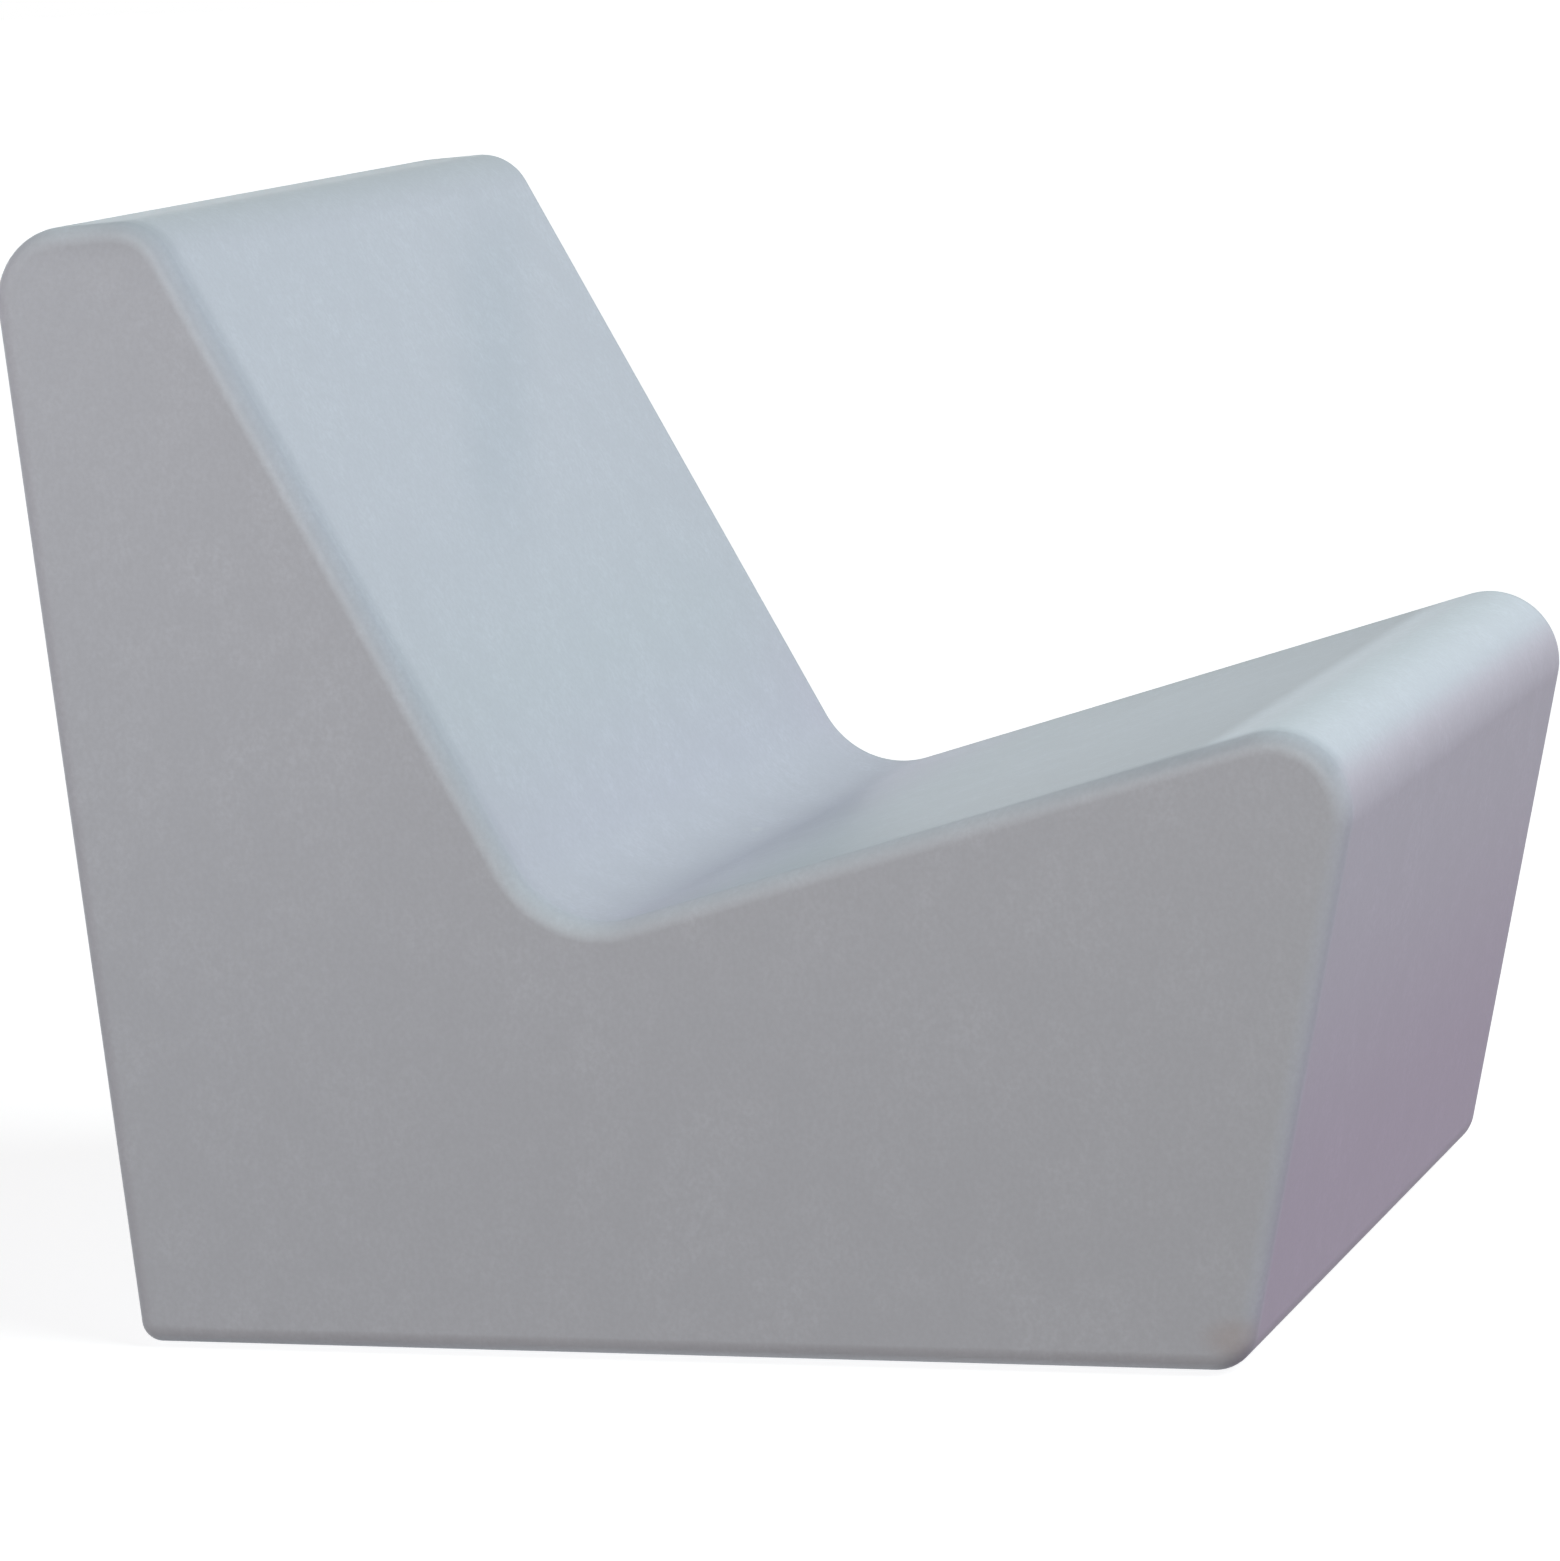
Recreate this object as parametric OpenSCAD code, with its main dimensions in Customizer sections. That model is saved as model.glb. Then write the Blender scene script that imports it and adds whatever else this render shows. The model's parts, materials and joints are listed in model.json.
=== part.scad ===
// Light-up lounge chair: one hollow moulded body, with a light module in its base.
// The sitter faces -Y, the width runs along X, and the chair stands on four glides at z = 0.

/* [Seat body] */
// Width of the body
chair_w = 670; // [600:5:740]
// Height above the base of the corner between top and backrest
chair_h = 704; // [660:4:760]
// Rise of the top towards the backrest, in degrees
top_rise = 3.5; // [0:0.5:6]
// Length of the base between its sharp corners
base_l = 713; // [680:1:760]
// Lean of the rear face out from vertical, in degrees
rear_lean = 4.8; // [2:0.1:7]
// Rake of the front face out from vertical, in degrees
front_rake = 12.5; // [8:0.1:15]
// Distance of the crook line behind the base's front corner
crook_back = 425; // [405:1:440]
// Height of the crook line above the base
crook_h = 258; // [245:1:275]
// Rise of the seat towards its front edge, in degrees
seat_rise = 16; // [13:0.1:18]
// Recline of the backrest from vertical, in degrees
back_recline = 28.1; // [25:0.1:29]
// Wall thickness of the body
wall = 4.5; // [3.5:0.1:6]

/* [Body corners] */
// Radius where the rear face turns into the top
rear_top_r = 47; // [35:1:55]
// Radius where the top turns into the backrest
rest_top_r = 36; // [25:1:45]
// Radius of the crook between backrest and seat
crook_r = 63; // [45:1:80]
// Radius of the seat's front edge
nose_r = 47; // [35:1:60]
// Radius at the front of the base
front_low_r = 27; // [15:1:35]
// Radius at the rear of the base
rear_low_r = 14; // [14:1:22]
// Radius of the long edges down both sides
side_r = 12.5; // [8:0.5:14]
// Least radius inside the hollow
inner_r = 8; // [5:0.5:9]

/* [Base] */
// Height of the glides below the base
glide_proud = 2; // [1.5:0.5:4]
// Depth of each glide's seat
glide_seat = 4; // [3:0.5:6]
// Radius of each glide
glide_r = 20; // [16:1:24]
// Distance of the glides from the edges of the base
glide_inset = 70; // [60:1:90]
// Radius of the light opening in the ledge
opening_r = 76; // [74:0.5:80]
// Depth of the light module's pocket
pocket_depth = 42; // [38:1:50]
// Draft of the pocket's wall, in degrees
pocket_draft = 3; // [1:0.5:5]
// Room round the light module in its pocket
pocket_room = 11; // [8:1:16]
// Radius of the pocket's rim
rim_r = 5; // [3:0.5:6]

/* [Light module] */
// Width of the flange outside the light opening
flange_w = 20; // [18:0.5:24]
// Thickness of the flange
flange_t = 4; // [3.5:0.5:5]
// Thickness of the gasket as clamped
gasket_t = 2.5; // [1.5:0.5:4]
// Room round the cup in the light opening
cup_room = 6; // [5:0.5:7]
// Thickness of the cup's wall and floor
cup_t = 3; // [2.6:0.1:3.4]
// Height of the dome's upright wall
dome_skirt = 14; // [12:1:20]
// Rise of the dome's cap
dome_rise = 30; // [20:1:40]
// Thickness of the dome
dome_t = 2.5; // [2:0.1:3.5]

/* [Electrics] */
// Diameter of a battery cell
cell_d = 18.4; // [17:0.1:19]
// Length of a battery cell
cell_l = 65.2; // [62:0.1:67]
// Height of the control board above the cup's floor
board_gap = 12; // [11:0.1:13]
// Length of the control board
board_l = 74; // [72:1:76]
// Width of the control board
board_w = 36; // [35:0.5:37]
// Thickness of the circuit boards
board_t = 1.6; // [1.2:0.1:2]
// Radius of the lights' board
led_board_r = 38; // [37:0.5:40]
// Lights in the outer ring
led_outer = 16; // [12:1:20]
// Lights in the inner ring
led_inner = 8; // [6:1:10]
// Side of one light
led_side = 5; // [3.5:0.5:5]

/* [Controls] */
// Radius of the power button
button_r = 6.4; // [5.5:0.1:7]
// Travel of the power button
button_travel = 1.5; // [1:0.1:1.8]
// Radius of the plug hole in the cup's floor
plug_hole_r = 5.5; // [5:0.1:6]
// Distance from the plug hole to the hinge of its cap
cap_reach = 16; // [15:0.5:18]
// Thickness of the cap's strap
strap_t = 1.4; // [1:0.1:1.8]

/* [Hidden] */

$fn = 72;
lap = 2;
fit_gap = 0.3;
press_gap = 0.05;
thread_gap = 0.1;

// How far the corner bands stand over the slabs between them, and reach under them
band_proud = 0.02;
band_lap = 0.3;

// Screws as [thread radius, head radius, head height]
m5 = [2.5, 4.75, 2.8];
m3 = [1.5, 2.75, 2];
insert_r = 4.5;
insert_l = 12;
boss_r = 8;
screw_grip = 10;

// Heights of the stack, from the floor up
base_z = glide_proud;
seat_z = base_z + glide_seat;
ledge_z = base_z + pocket_depth;
flange_z = ledge_z - gasket_t;
face_z = flange_z - flange_t;
floor_z = face_z + cup_t;
holder_t = 1.6;
cell_z = floor_z + holder_t + cell_d / 2;
head_room = 2;
deck_z = cell_z + cell_d / 2 + head_room;
deck_t = 2;
led_z = deck_z + deck_t;
led_top = led_z + board_t;
rim_z = deck_z + 4;
dome_ring_t = 4;
board_z = floor_z + board_gap;
board_top = board_z + board_t;

// Radii of the light module
flange_r = opening_r + flange_w;
pocket_r = flange_r + pocket_room;
screw_ring = (opening_r + flange_r) / 2;
cup_r = opening_r - cup_room;
tube_r = 4.5;
tube_sink = 1.2;
dome_ring = cup_r - cup_t - tube_r + tube_sink;
deck_r = dome_ring - tube_r - 1.6;
pillar_r = 3.5;
pillar_ring = deck_r - 6.4;
seal_w = 1.4;
seal_h = 1.2;
module_screws_at = [for (i = [0:5]) 30 + 60 * i];
dome_screws_at = [for (i = [0:5]) 60 * i];
pillars_at = [0, 180, 270];

// Places in the cup, from its centre
board_y = -22;
holder_low = 0.8;
cell_gap = 1.6;
holder_side = 2;
contact_t = 0.5;
nub_h = 1;
holder_end = 2;
cell_pitch = cell_d + cell_gap;
holder_w = 2 * cell_d + cell_gap + 2 * holder_side;
holder_y = holder_low + holder_w / 2;
bay_l = cell_l + nub_h + 2 * contact_t;
holder_l = bay_l + 2 * holder_end;
ear_h = 6;
ear_l = 8;
standoff_r = 3;
standoffs = [for (x = [-1, 1], y = [-1, 1])
    [x * (board_l / 2 - 5), board_y + y * (board_w / 2 - 5)]];
button_x = -20;
jack_x = 20;
button_z = face_z - button_travel + 0.3;
plunger_z = board_z - button_travel - 4;
lens_x = 2;
lens_r = 1.5;
stud_r = 1.6;
hinge_x = jack_x + cap_reach;
hinge_z = face_z - 0.2 - strap_t / 2;
// Room from the hinge line to the strap's fixed end, so that the cap swings 120 degrees
root_gap = strap_t / 2 * tan(60) + fit_gap;
lead_x = (board_l / 2 + pillar_ring - pillar_r) / 2;
lead_r = 1.1;
plug_h = 6;
plug_x = board_l / 2 - 3;

// Corners of the body's side view as [y, z], anticlockwise from the front of the base
nose_run = (crook_back + crook_h * tan(front_rake))
         / (cos(seat_rise) - tan(front_rake) * sin(seat_rise));
rest_y = crook_back + (chair_h - crook_h) * tan(back_recline);
rear_h = (chair_h - (base_l - rest_y) * tan(top_rise)) / (1 + tan(rear_lean) * tan(top_rise));
corners = [
    [0, 0],
    [base_l, 0],
    [base_l + rear_h * tan(rear_lean), rear_h],
    [rest_y, chair_h],
    [crook_back, crook_h],
    [crook_back - nose_run * cos(seat_rise), crook_h + nose_run * sin(seat_rise)],
];
asked_radii = [front_low_r, rear_low_r, rear_top_r, rest_top_r, crook_r, nose_r];
// Share of the run between two corners that their arcs may take, the rest being straight
arc_share = 0.95;
// A radius shrinks only where its arc and the next corner's don't fit on the run between them
radii = [for (i = [0:5])
    asked_radii[i] * min(1, room_for_arcs(corners, asked_radii, i + 5),
        room_for_arcs(corners, asked_radii, i))];
inner_corners = inset(corners, wall);
inner_radii = [for (i = [0:5])
    turn(corners, i) < 0 ? radii[i] + wall : max(radii[i] - wall, inner_r)];

// The origin lies under the middle of the whole chair
front_y = arc_centre(corners, radii, 5)[0] - radii[5];
rear_y = arc_centre(corners, radii, 2)[0] + radii[2];
shift_y = -(front_y + rear_y) / 2;
module_y = shift_y + base_l / 2;
glide_spots = [for (x = [-1, 1], y = [glide_inset, base_l - glide_inset])
    [x * (chair_w / 2 - glide_inset), shift_y + y]];

// Points and directions of a closed outline that runs anticlockwise
function heading(pts, i) =
    let (d = pts[(i + 1) % len(pts)] - pts[i % len(pts)]) d / norm(d);
function before(pts, i) = heading(pts, i + len(pts) - 1);
function left(d) = [-d[1], d[0]];
function bearing(d) = atan2(d[1], d[0]);
function turn(pts, i) =
    let (a = before(pts, i), b = heading(pts, i)) atan2(a[0] * b[1] - a[1] * b[0], a * b);
function inset(pts, by) = [for (i = [0:len(pts) - 1])
    let (a = left(before(pts, i)), b = left(heading(pts, i)))
    pts[i] + (a + b) * by / (1 + a * b)];
function cut_back(pts, radii, i) = radii[i] * tan(abs(turn(pts, i)) / 2);
function room_for_arcs(pts, radii, i) =
    let (a = i % len(pts), b = (i + 1) % len(pts))
    arc_share * norm(pts[b] - pts[a]) / (cut_back(pts, radii, a) + cut_back(pts, radii, b));
function arc_start(pts, radii, i) = pts[i] - before(pts, i) * cut_back(pts, radii, i);
function arc_end(pts, radii, i) = pts[i] + heading(pts, i) * cut_back(pts, radii, i);
function arc_centre(pts, radii, i) =
    arc_start(pts, radii, i) + left(before(pts, i)) * radii[i] * sign(turn(pts, i));

// Where the core inside the rounded edges passes corner i
function core_points(pts, radii, r, i) =
    turn(pts, i) < 0 ? [inset(pts, r)[i]]
    : radii[i] - r < 0.01 ? [arc_centre(pts, radii, i)]
    : [arc_start(pts, radii, i) + left(before(pts, i)) * r,
       arc_end(pts, radii, i) + left(heading(pts, i)) * r];

// A slab from x = 0 to depth, with the two corners at x = 0 rounded
module rounded_slab(depth, w, r) {
    translate([r, -w / 2]) square([depth - r, w]);
    translate([0, r - w / 2]) square([depth, w - 2 * r]);
    for (s = [-1, 1]) translate([r, s * (w / 2 - r)]) circle(r);
}

// The slab along the straight side that follows corner i
module side_band(pts, radii, w, r, i) {
    way = heading(pts, i);
    from = arc_end(pts, radii, i) - way * band_lap;
    to = arc_start(pts, radii, (i + 1) % len(pts)) + way * band_lap;
    translate(from) rotate(bearing(way)) rotate([90, 0, 90])
        linear_extrude(norm(to - from)) rounded_slab(r + lap, w, r);
}

// The slab turned about the centre of corner i
module corner_band(pts, radii, w, r, i) {
    bend = turn(pts, i);
    wide = w + 2 * band_proud;
    edge = r + band_proud;
    outer = radii[i] + band_proud;
    inner = radii[i] - band_proud;
    reach = (radii[i] + r) / cos(bend / 2) - radii[i] + lap;
    translate(arc_centre(pts, radii, i))
        if (bend > 0)
            rotate(bearing(before(pts, i)) - 90) rotate_extrude(angle = bend) intersection() {
                translate([outer, 0]) mirror([1, 0]) rounded_slab(outer, wide, edge);
                translate([0, -wide]) square([outer + lap, 2 * wide]);
            }
        else
            rotate(bearing(heading(pts, i)) + 90) rotate_extrude(angle = -bend)
                translate([inner, 0]) rounded_slab(reach, wide, edge);
}

// An upright outline of thickness w, with rounded corners and rounded long edges
module rounded_body(pts, radii, w, r) {
    core = [for (i = [0:len(pts) - 1]) for (p = core_points(pts, radii, r, i)) p];
    rotate([90, 0, 90]) {
        linear_extrude(w, center = true) polygon(core);
        for (i = [0:len(pts) - 1]) {
            side_band(pts, radii, w, r, i);
            corner_band(pts, radii, w, r, i);
        }
    }
}

// Plain helpers
module tube(r, z1, z2) { translate([0, 0, z1]) cylinder(r = r, h = z2 - z1); }
module ring(r1, r2, z1, z2) {
    rotate_extrude() translate([r1, z1]) square([r2 - r1, z2 - z1]);
}
module block(l, w, z1, z2) { translate([-l / 2, -w / 2, z1]) cube([l, w, z2 - z1]); }
module around(angles, r) { for (a = angles) rotate(a) translate([r, 0]) children(); }
module in_module() { translate([0, module_y]) children(); }
module at_glides() { for (p = glide_spots) translate(p) children(); }

// A screw with its head under z and its shank above
module screw(size, z, grip) {
    difference() {
        union() {
            tube(size[1], z - size[2], z);
            tube(size[0] - thread_gap, z - size[2] / 2, z + grip);
        }
        translate([0, 0, z - size[2] - lap])
            cylinder(r = size[0] * 0.7, h = lap + size[2] * 0.6, $fn = 6);
    }
}

// The same screw turned over, with its head on top of z
module top_screw(size, z, grip) { translate([0, 0, z]) rotate([180, 0, 0]) screw(size, 0, grip); }

// A wire of round section along a list of points
module wire(points, r) {
    for (i = [0:len(points) - 2]) {
        d = points[i + 1] - points[i];
        translate(points[i]) rotate([0, acos(d[2] / norm(d)), bearing(d)]) cylinder(r = r, h = norm(d));
        if (i > 0) translate(points[i]) sphere(r);
    }
}

// Space of the pocket, with its drafted wall and round rim
module pocket_space() {
    draft = tan(pocket_draft);
    rim_centre = pocket_r + (pocket_depth - rim_r) * draft + rim_r / cos(pocket_draft);
    rotate_extrude() {
        polygon([[0, base_z - lap], [pocket_r + (pocket_depth + lap) * draft, base_z - lap],
                 [pocket_r, ledge_z], [0, ledge_z]]);
        difference() {
            translate([pocket_r, base_z - lap])
                square([rim_centre - pocket_r, lap + rim_r * (1 - sin(pocket_draft))]);
            translate([rim_centre, base_z + rim_r]) circle(rim_r + band_proud);
        }
    }
}

// The pocket's wall and ledge before the pocket is cut
module pocket_form() {
    draft = tan(pocket_draft);
    r = pocket_r + wall / cos(pocket_draft);
    foot = base_z + wall / 2;
    rotate_extrude() polygon([[0, foot], [r + (ledge_z - foot) * draft, foot],
                              [r - wall * draft, ledge_z + wall], [0, ledge_z + wall]]);
}

module shell() {
    color("whitesmoke") difference() {
        union() {
            translate([0, shift_y, base_z]) difference() {
                rounded_body(corners, radii, chair_w, side_r);
                rounded_body(inner_corners, inner_radii, chair_w - 2 * wall, inner_r);
            }
            in_module() pocket_form();
            in_module() around(module_screws_at, screw_ring)
                tube(boss_r, ledge_z, ledge_z + insert_l + wall);
            at_glides() tube(glide_r + fit_gap + wall, base_z + wall / 2, seat_z + wall);
            at_glides() tube(boss_r, seat_z, seat_z + insert_l + wall);
        }
        in_module() pocket_space();
        in_module() tube(opening_r, ledge_z - lap, ledge_z + wall + lap);
        in_module() around(module_screws_at, screw_ring)
            tube(insert_r + press_gap, ledge_z - lap, ledge_z + insert_l);
        at_glides() tube(glide_r + fit_gap, base_z - lap, seat_z);
        at_glides() tube(insert_r + press_gap, seat_z - lap, seat_z + insert_l);
    }
}

module insert(z) {
    difference() {
        tube(insert_r, z, z + insert_l);
        tube(m5[0], z - lap, z + insert_l + lap);
    }
}

module ledge_inserts() {
    color("goldenrod") in_module() around(module_screws_at, screw_ring) insert(ledge_z);
}

module glide_inserts() { color("goldenrod") at_glides() insert(seat_z); }

module glides() {
    color("dimgray") at_glides() difference() {
        rotate_extrude() polygon([[0, 0], [glide_r - 1, 0], [glide_r, 1],
                                  [glide_r, seat_z], [0, seat_z]]);
        tube(m5[1] + fit_gap, -lap, seat_z / 2);
        tube(m5[0] + fit_gap, -lap, seat_z + lap);
    }
}

module glide_screws() { color("silver") at_glides() screw(m5, seat_z / 2, seat_z / 2 + screw_grip); }

module module_gasket() {
    color("black") in_module() difference() {
        ring(opening_r + 2, flange_r - 0.5, flange_z, ledge_z);
        around(module_screws_at, screw_ring) tube(m5[0] + fit_gap, flange_z - lap, ledge_z + lap);
    }
}

// The flanged cup: everything electric stands on its floor
module module_housing() {
    well = m3[2] + 2;
    color("gainsboro") in_module() difference() {
        rotate_extrude() polygon([
            [0, face_z], [flange_r, face_z], [flange_r, flange_z], [cup_r, flange_z],
            [cup_r, rim_z], [0, rim_z],
        ]);
        difference() {
            tube(cup_r - cup_t, floor_z, rim_z + lap);
            around(dome_screws_at, dome_ring) tube(tube_r, floor_z - lap, rim_z + 2 * lap);
            around(pillars_at, pillar_ring) tube(pillar_r, floor_z - lap, deck_z);
            for (p = standoffs) translate(p) tube(standoff_r, floor_z - lap, board_z);
            for (s = [-1, 1]) translate([s * (holder_l / 2 + ear_l / 2), holder_y])
                tube(standoff_r, floor_z - lap, floor_z + ear_h);
        }
        ring(cup_r - cup_t / 2 - seal_w / 2 - press_gap, cup_r - cup_t / 2 + seal_w / 2 + press_gap,
             rim_z - seal_h, rim_z + lap);
        around(module_screws_at, screw_ring) tube(m5[0] + fit_gap, face_z - lap, flange_z + lap);
        around(dome_screws_at, dome_ring) {
            tube(m3[1] + fit_gap, face_z - lap, face_z + well);
            tube(m3[0] + fit_gap, face_z, rim_z + lap);
        }
        around(pillars_at, pillar_ring) tube(m3[0], deck_z - screw_grip, deck_z + lap);
        for (p = standoffs) translate(p) tube(m3[0], floor_z + lap, board_z + lap);
        for (s = [-1, 1]) translate([s * (holder_l / 2 + ear_l / 2), holder_y])
            tube(m3[0], floor_z, floor_z + ear_h + lap);
        translate([button_x, board_y]) {
            tube(button_r + fit_gap, face_z - lap, floor_z + lap);
            tube(button_r + seal_w, face_z + 0.8, face_z + 0.8 + seal_h);
        }
        translate([jack_x, board_y]) tube(plug_hole_r, face_z - lap, floor_z + lap);
        translate([lens_x, board_y]) tube(lens_r + press_gap, face_z - lap, floor_z + lap);
        translate([hinge_x + 4, board_y]) tube(stud_r + press_gap, face_z - lap, floor_z + lap);
    }
}

module module_screws() {
    color("silver") in_module() around(module_screws_at, screw_ring)
        screw(m5, face_z, ledge_z - face_z + screw_grip);
}

// The clear dome, with a rim ring and six blind bosses
module dome() {
    ring_low = dome_ring - tube_r - 1;
    cap_r = (cup_r * cup_r + dome_rise * dome_rise) / (2 * dome_rise);
    cap_z = rim_z + dome_skirt;
    color("aliceblue", 0.5) in_module() difference() {
        union() {
            rotate_extrude() {
                translate([ring_low, rim_z]) square([cup_r - ring_low, dome_ring_t]);
                translate([cup_r - dome_t, rim_z]) square([dome_t, dome_skirt]);
                intersection() {
                    translate([0, cap_z + dome_rise - cap_r]) difference() {
                        circle(cap_r);
                        circle(cap_r - dome_t);
                    }
                    translate([0, cap_z]) square([cup_r, dome_rise]);
                }
            }
            around(dome_screws_at, dome_ring) tube(tube_r - 0.5, rim_z, rim_z + screw_grip);
        }
        around(dome_screws_at, dome_ring) tube(m3[0], rim_z - lap, rim_z + screw_grip - 1.5);
    }
}

module dome_seal() {
    mid = cup_r - cup_t / 2;
    color("black") in_module() ring(mid - seal_w / 2, mid + seal_w / 2, rim_z - seal_h, rim_z);
}

module dome_screws() {
    seat = face_z + m3[2] + 2;
    color("silver") in_module() around(dome_screws_at, dome_ring)
        screw(m3, seat, rim_z - seat + screw_grip - 3);
}

// White deck that hides the battery and throws the light up
module reflector() {
    color("white") in_module() difference() {
        rotate_extrude() polygon([
            [0, deck_z], [deck_r - 1.4, deck_z], [deck_r, deck_z + 6],
            [deck_r - 1.4, deck_z + 6], [deck_r - 2.8, led_z], [0, led_z],
        ]);
        around(pillars_at, pillar_ring) tube(m3[0] + fit_gap, deck_z - lap, led_z + lap);
        around([90, 210, 330], led_board_r - 13) tube(m3[0], deck_z - lap, led_z + lap);
        translate([-lead_x, board_y]) tube(lead_r + 0.5, deck_z - lap, led_z + lap);
    }
}

module reflector_screws() {
    color("silver") in_module() around(pillars_at, pillar_ring)
        top_screw(m3, led_z, screw_grip - 1);
}

module led_board() {
    color("gainsboro") in_module() difference() {
        tube(led_board_r, led_z, led_top);
        around([90, 210, 330], led_board_r - 13) tube(m3[0] + fit_gap, led_z - lap, led_top + lap);
    }
}

module led_chips() {
    color("khaki") in_module() {
        around([for (i = [1:led_outer]) (i - 0.5) * 360 / led_outer], led_board_r - 6)
            block(led_side, led_side, led_top, led_top + 1.6);
        around([for (i = [1:led_inner]) (i - 0.5) * 360 / led_inner], led_board_r - 22)
            block(led_side, led_side, led_top, led_top + 1.6);
    }
}

module led_board_screws() {
    color("silver") in_module() around([90, 210, 330], led_board_r - 13)
        top_screw(m3, led_top, board_t + deck_t - 0.1);
}

module ir_receiver() {
    color("black") in_module() {
        block(6, 5, led_top, led_top + 3);
        tube(2.3, led_top + lap, led_top + 4);
        translate([0, 0, led_top + 4]) sphere(2.3);
    }
}

// Cradle with two troughs, end walls and an ear at each end
module battery_holder() {
    color("dimgray") in_module() translate([0, holder_y]) difference() {
        union() {
            block(holder_l, holder_w, floor_z, cell_z);
            for (s = [-1, 1]) translate([s * (holder_l - holder_end) / 2, 0])
                block(holder_end, holder_w, floor_z, cell_z + 5);
            block(holder_l + 2 * ear_l, 8, floor_z + ear_h, floor_z + ear_h + holder_t);
        }
        for (s = [-1, 1]) translate([-bay_l / 2, s * cell_pitch / 2, cell_z])
            rotate([0, 90, 0]) cylinder(r = cell_d / 2 + 0.15, h = bay_l);
        for (s = [-1, 1]) translate([s * (holder_l + ear_l) / 2, 0])
            tube(m3[0] + fit_gap, floor_z, cell_z);
    }
}

// Two cells head to tail
module battery_cells() {
    color("steelblue") in_module() translate([0, holder_y]) for (s = [-1, 1])
        translate([0, s * cell_pitch / 2, cell_z]) rotate([0, s * 90, 0]) {
            translate([0, 0, contact_t - bay_l / 2]) cylinder(r = cell_d / 2, h = cell_l);
            translate([0, 0, contact_t - bay_l / 2 + cell_l - lap])
                cylinder(r = 2.8, h = lap + nub_h);
        }
}

module cell_contacts() {
    color("silver") in_module() translate([0, holder_y]) for (s = [-1, 1], e = [-1, 1])
        translate([e * (bay_l - contact_t) / 2, s * cell_pitch / 2])
            block(contact_t, 9, cell_z - 4, cell_z + 5);
}

module holder_screws() {
    color("silver") in_module() for (s = [-1, 1])
        translate([s * (holder_l + ear_l) / 2, holder_y])
            top_screw(m3, floor_z + ear_h + holder_t, ear_h);
}

module control_board() {
    color("seagreen") in_module() difference() {
        translate([0, board_y]) block(board_l, board_w, board_z, board_top);
        for (p = standoffs) translate(p) tube(m3[0] + fit_gap, board_z - lap, board_top + lap);
    }
}

// Driver chip, charger chip, coil, two capacitors and two lead sockets
module board_parts() {
    color("black") in_module() translate([0, board_y]) {
        translate([-12, 6]) block(9, 9, board_top, board_top + 1.6);
        translate([12, -8]) block(6, 5, board_top, board_top + 1.4);
        translate([10, 6]) block(12, 12, board_top, board_top + 5);
        for (x = [-14, -5]) translate([x, -9]) tube(3.2, board_top, board_top + 7);
        for (s = [-1, 1]) translate([s * plug_x, 0]) block(6, 8, board_top, board_top + plug_h);
    }
}

module board_screws() {
    color("silver") in_module() for (p = standoffs) translate(p)
        top_screw(m3, board_top, board_t + 7);
}

// Barrel, collar that stops it on the cup's floor, and stem
module power_button() {
    stop_z = floor_z + 0.2;
    color("ivory") in_module() translate([button_x, board_y]) {
        rotate_extrude() polygon([
            [0, button_z], [button_r - 0.6, button_z], [button_r, button_z + 0.6],
            [button_r, stop_z], [button_r + 2, stop_z], [button_r + 2, stop_z + 1.5],
            [0, stop_z + 1.5],
        ]);
        tube(2.4, stop_z, plunger_z);
    }
}

module switch_plunger() {
    color("black") in_module() translate([button_x, board_y])
        tube(3.2, plunger_z, plunger_z + 2.5);
}

module power_switch() {
    color("dimgray") in_module() translate([button_x, board_y]) difference() {
        block(12, 12, plunger_z + lap, board_z);
        tube(3.2 + fit_gap, plunger_z, board_z - 0.8);
    }
}

module button_seal() {
    color("black") in_module() translate([button_x, board_y])
        ring(button_r + 0.08, button_r + seal_w - press_gap, face_z + 0.8, face_z + 0.8 + seal_h);
}

module charge_jack() {
    color("black") in_module() translate([jack_x, board_y]) difference() {
        block(14, 14, floor_z, board_z);
        tube(3.15, floor_z - lap, board_z - 2.5);
        tube(1 + press_gap, board_z - 3, board_z - 1);
    }
}

module jack_contact() {
    color("silver") in_module() translate([jack_x, board_y])
        tube(1, floor_z + 1.5, board_z - 1);
}

// Rubber cap with its plug, pull tab and strap, closed over the plug hole
module jack_cap() {
    top = hinge_z + strap_t / 2;
    color("dimgray") in_module() translate([jack_x, board_y]) {
        tube(plug_hole_r + 2, top - 2, top);
        translate([0, 0, top]) cylinder(r1 = plug_hole_r - 0.4, r2 = plug_hole_r - 0.9, h = cup_t - 0.5);
        translate([-plug_hole_r - 6, -3, top - strap_t]) cube([6, 6, strap_t]);
        translate([0, -3, top - strap_t]) cube([cap_reach, 6, strap_t]);
        translate([cap_reach, 3, hinge_z]) rotate([90, 0, 0]) cylinder(r = strap_t / 2, h = 6);
    }
}

// Fixed end of the strap, with a stud that snaps through the cup's floor
module cap_root() {
    top = hinge_z + strap_t / 2;
    color("dimgray") in_module() translate([hinge_x + 4, board_y]) {
        translate([root_gap - 4, -3, top - strap_t]) cube([7.2 - root_gap, 6, strap_t]);
        tube(stud_r, top - strap_t / 2, floor_z + 1);
        tube(stud_r + 0.8, floor_z, floor_z + 1.2);
    }
}

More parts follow.
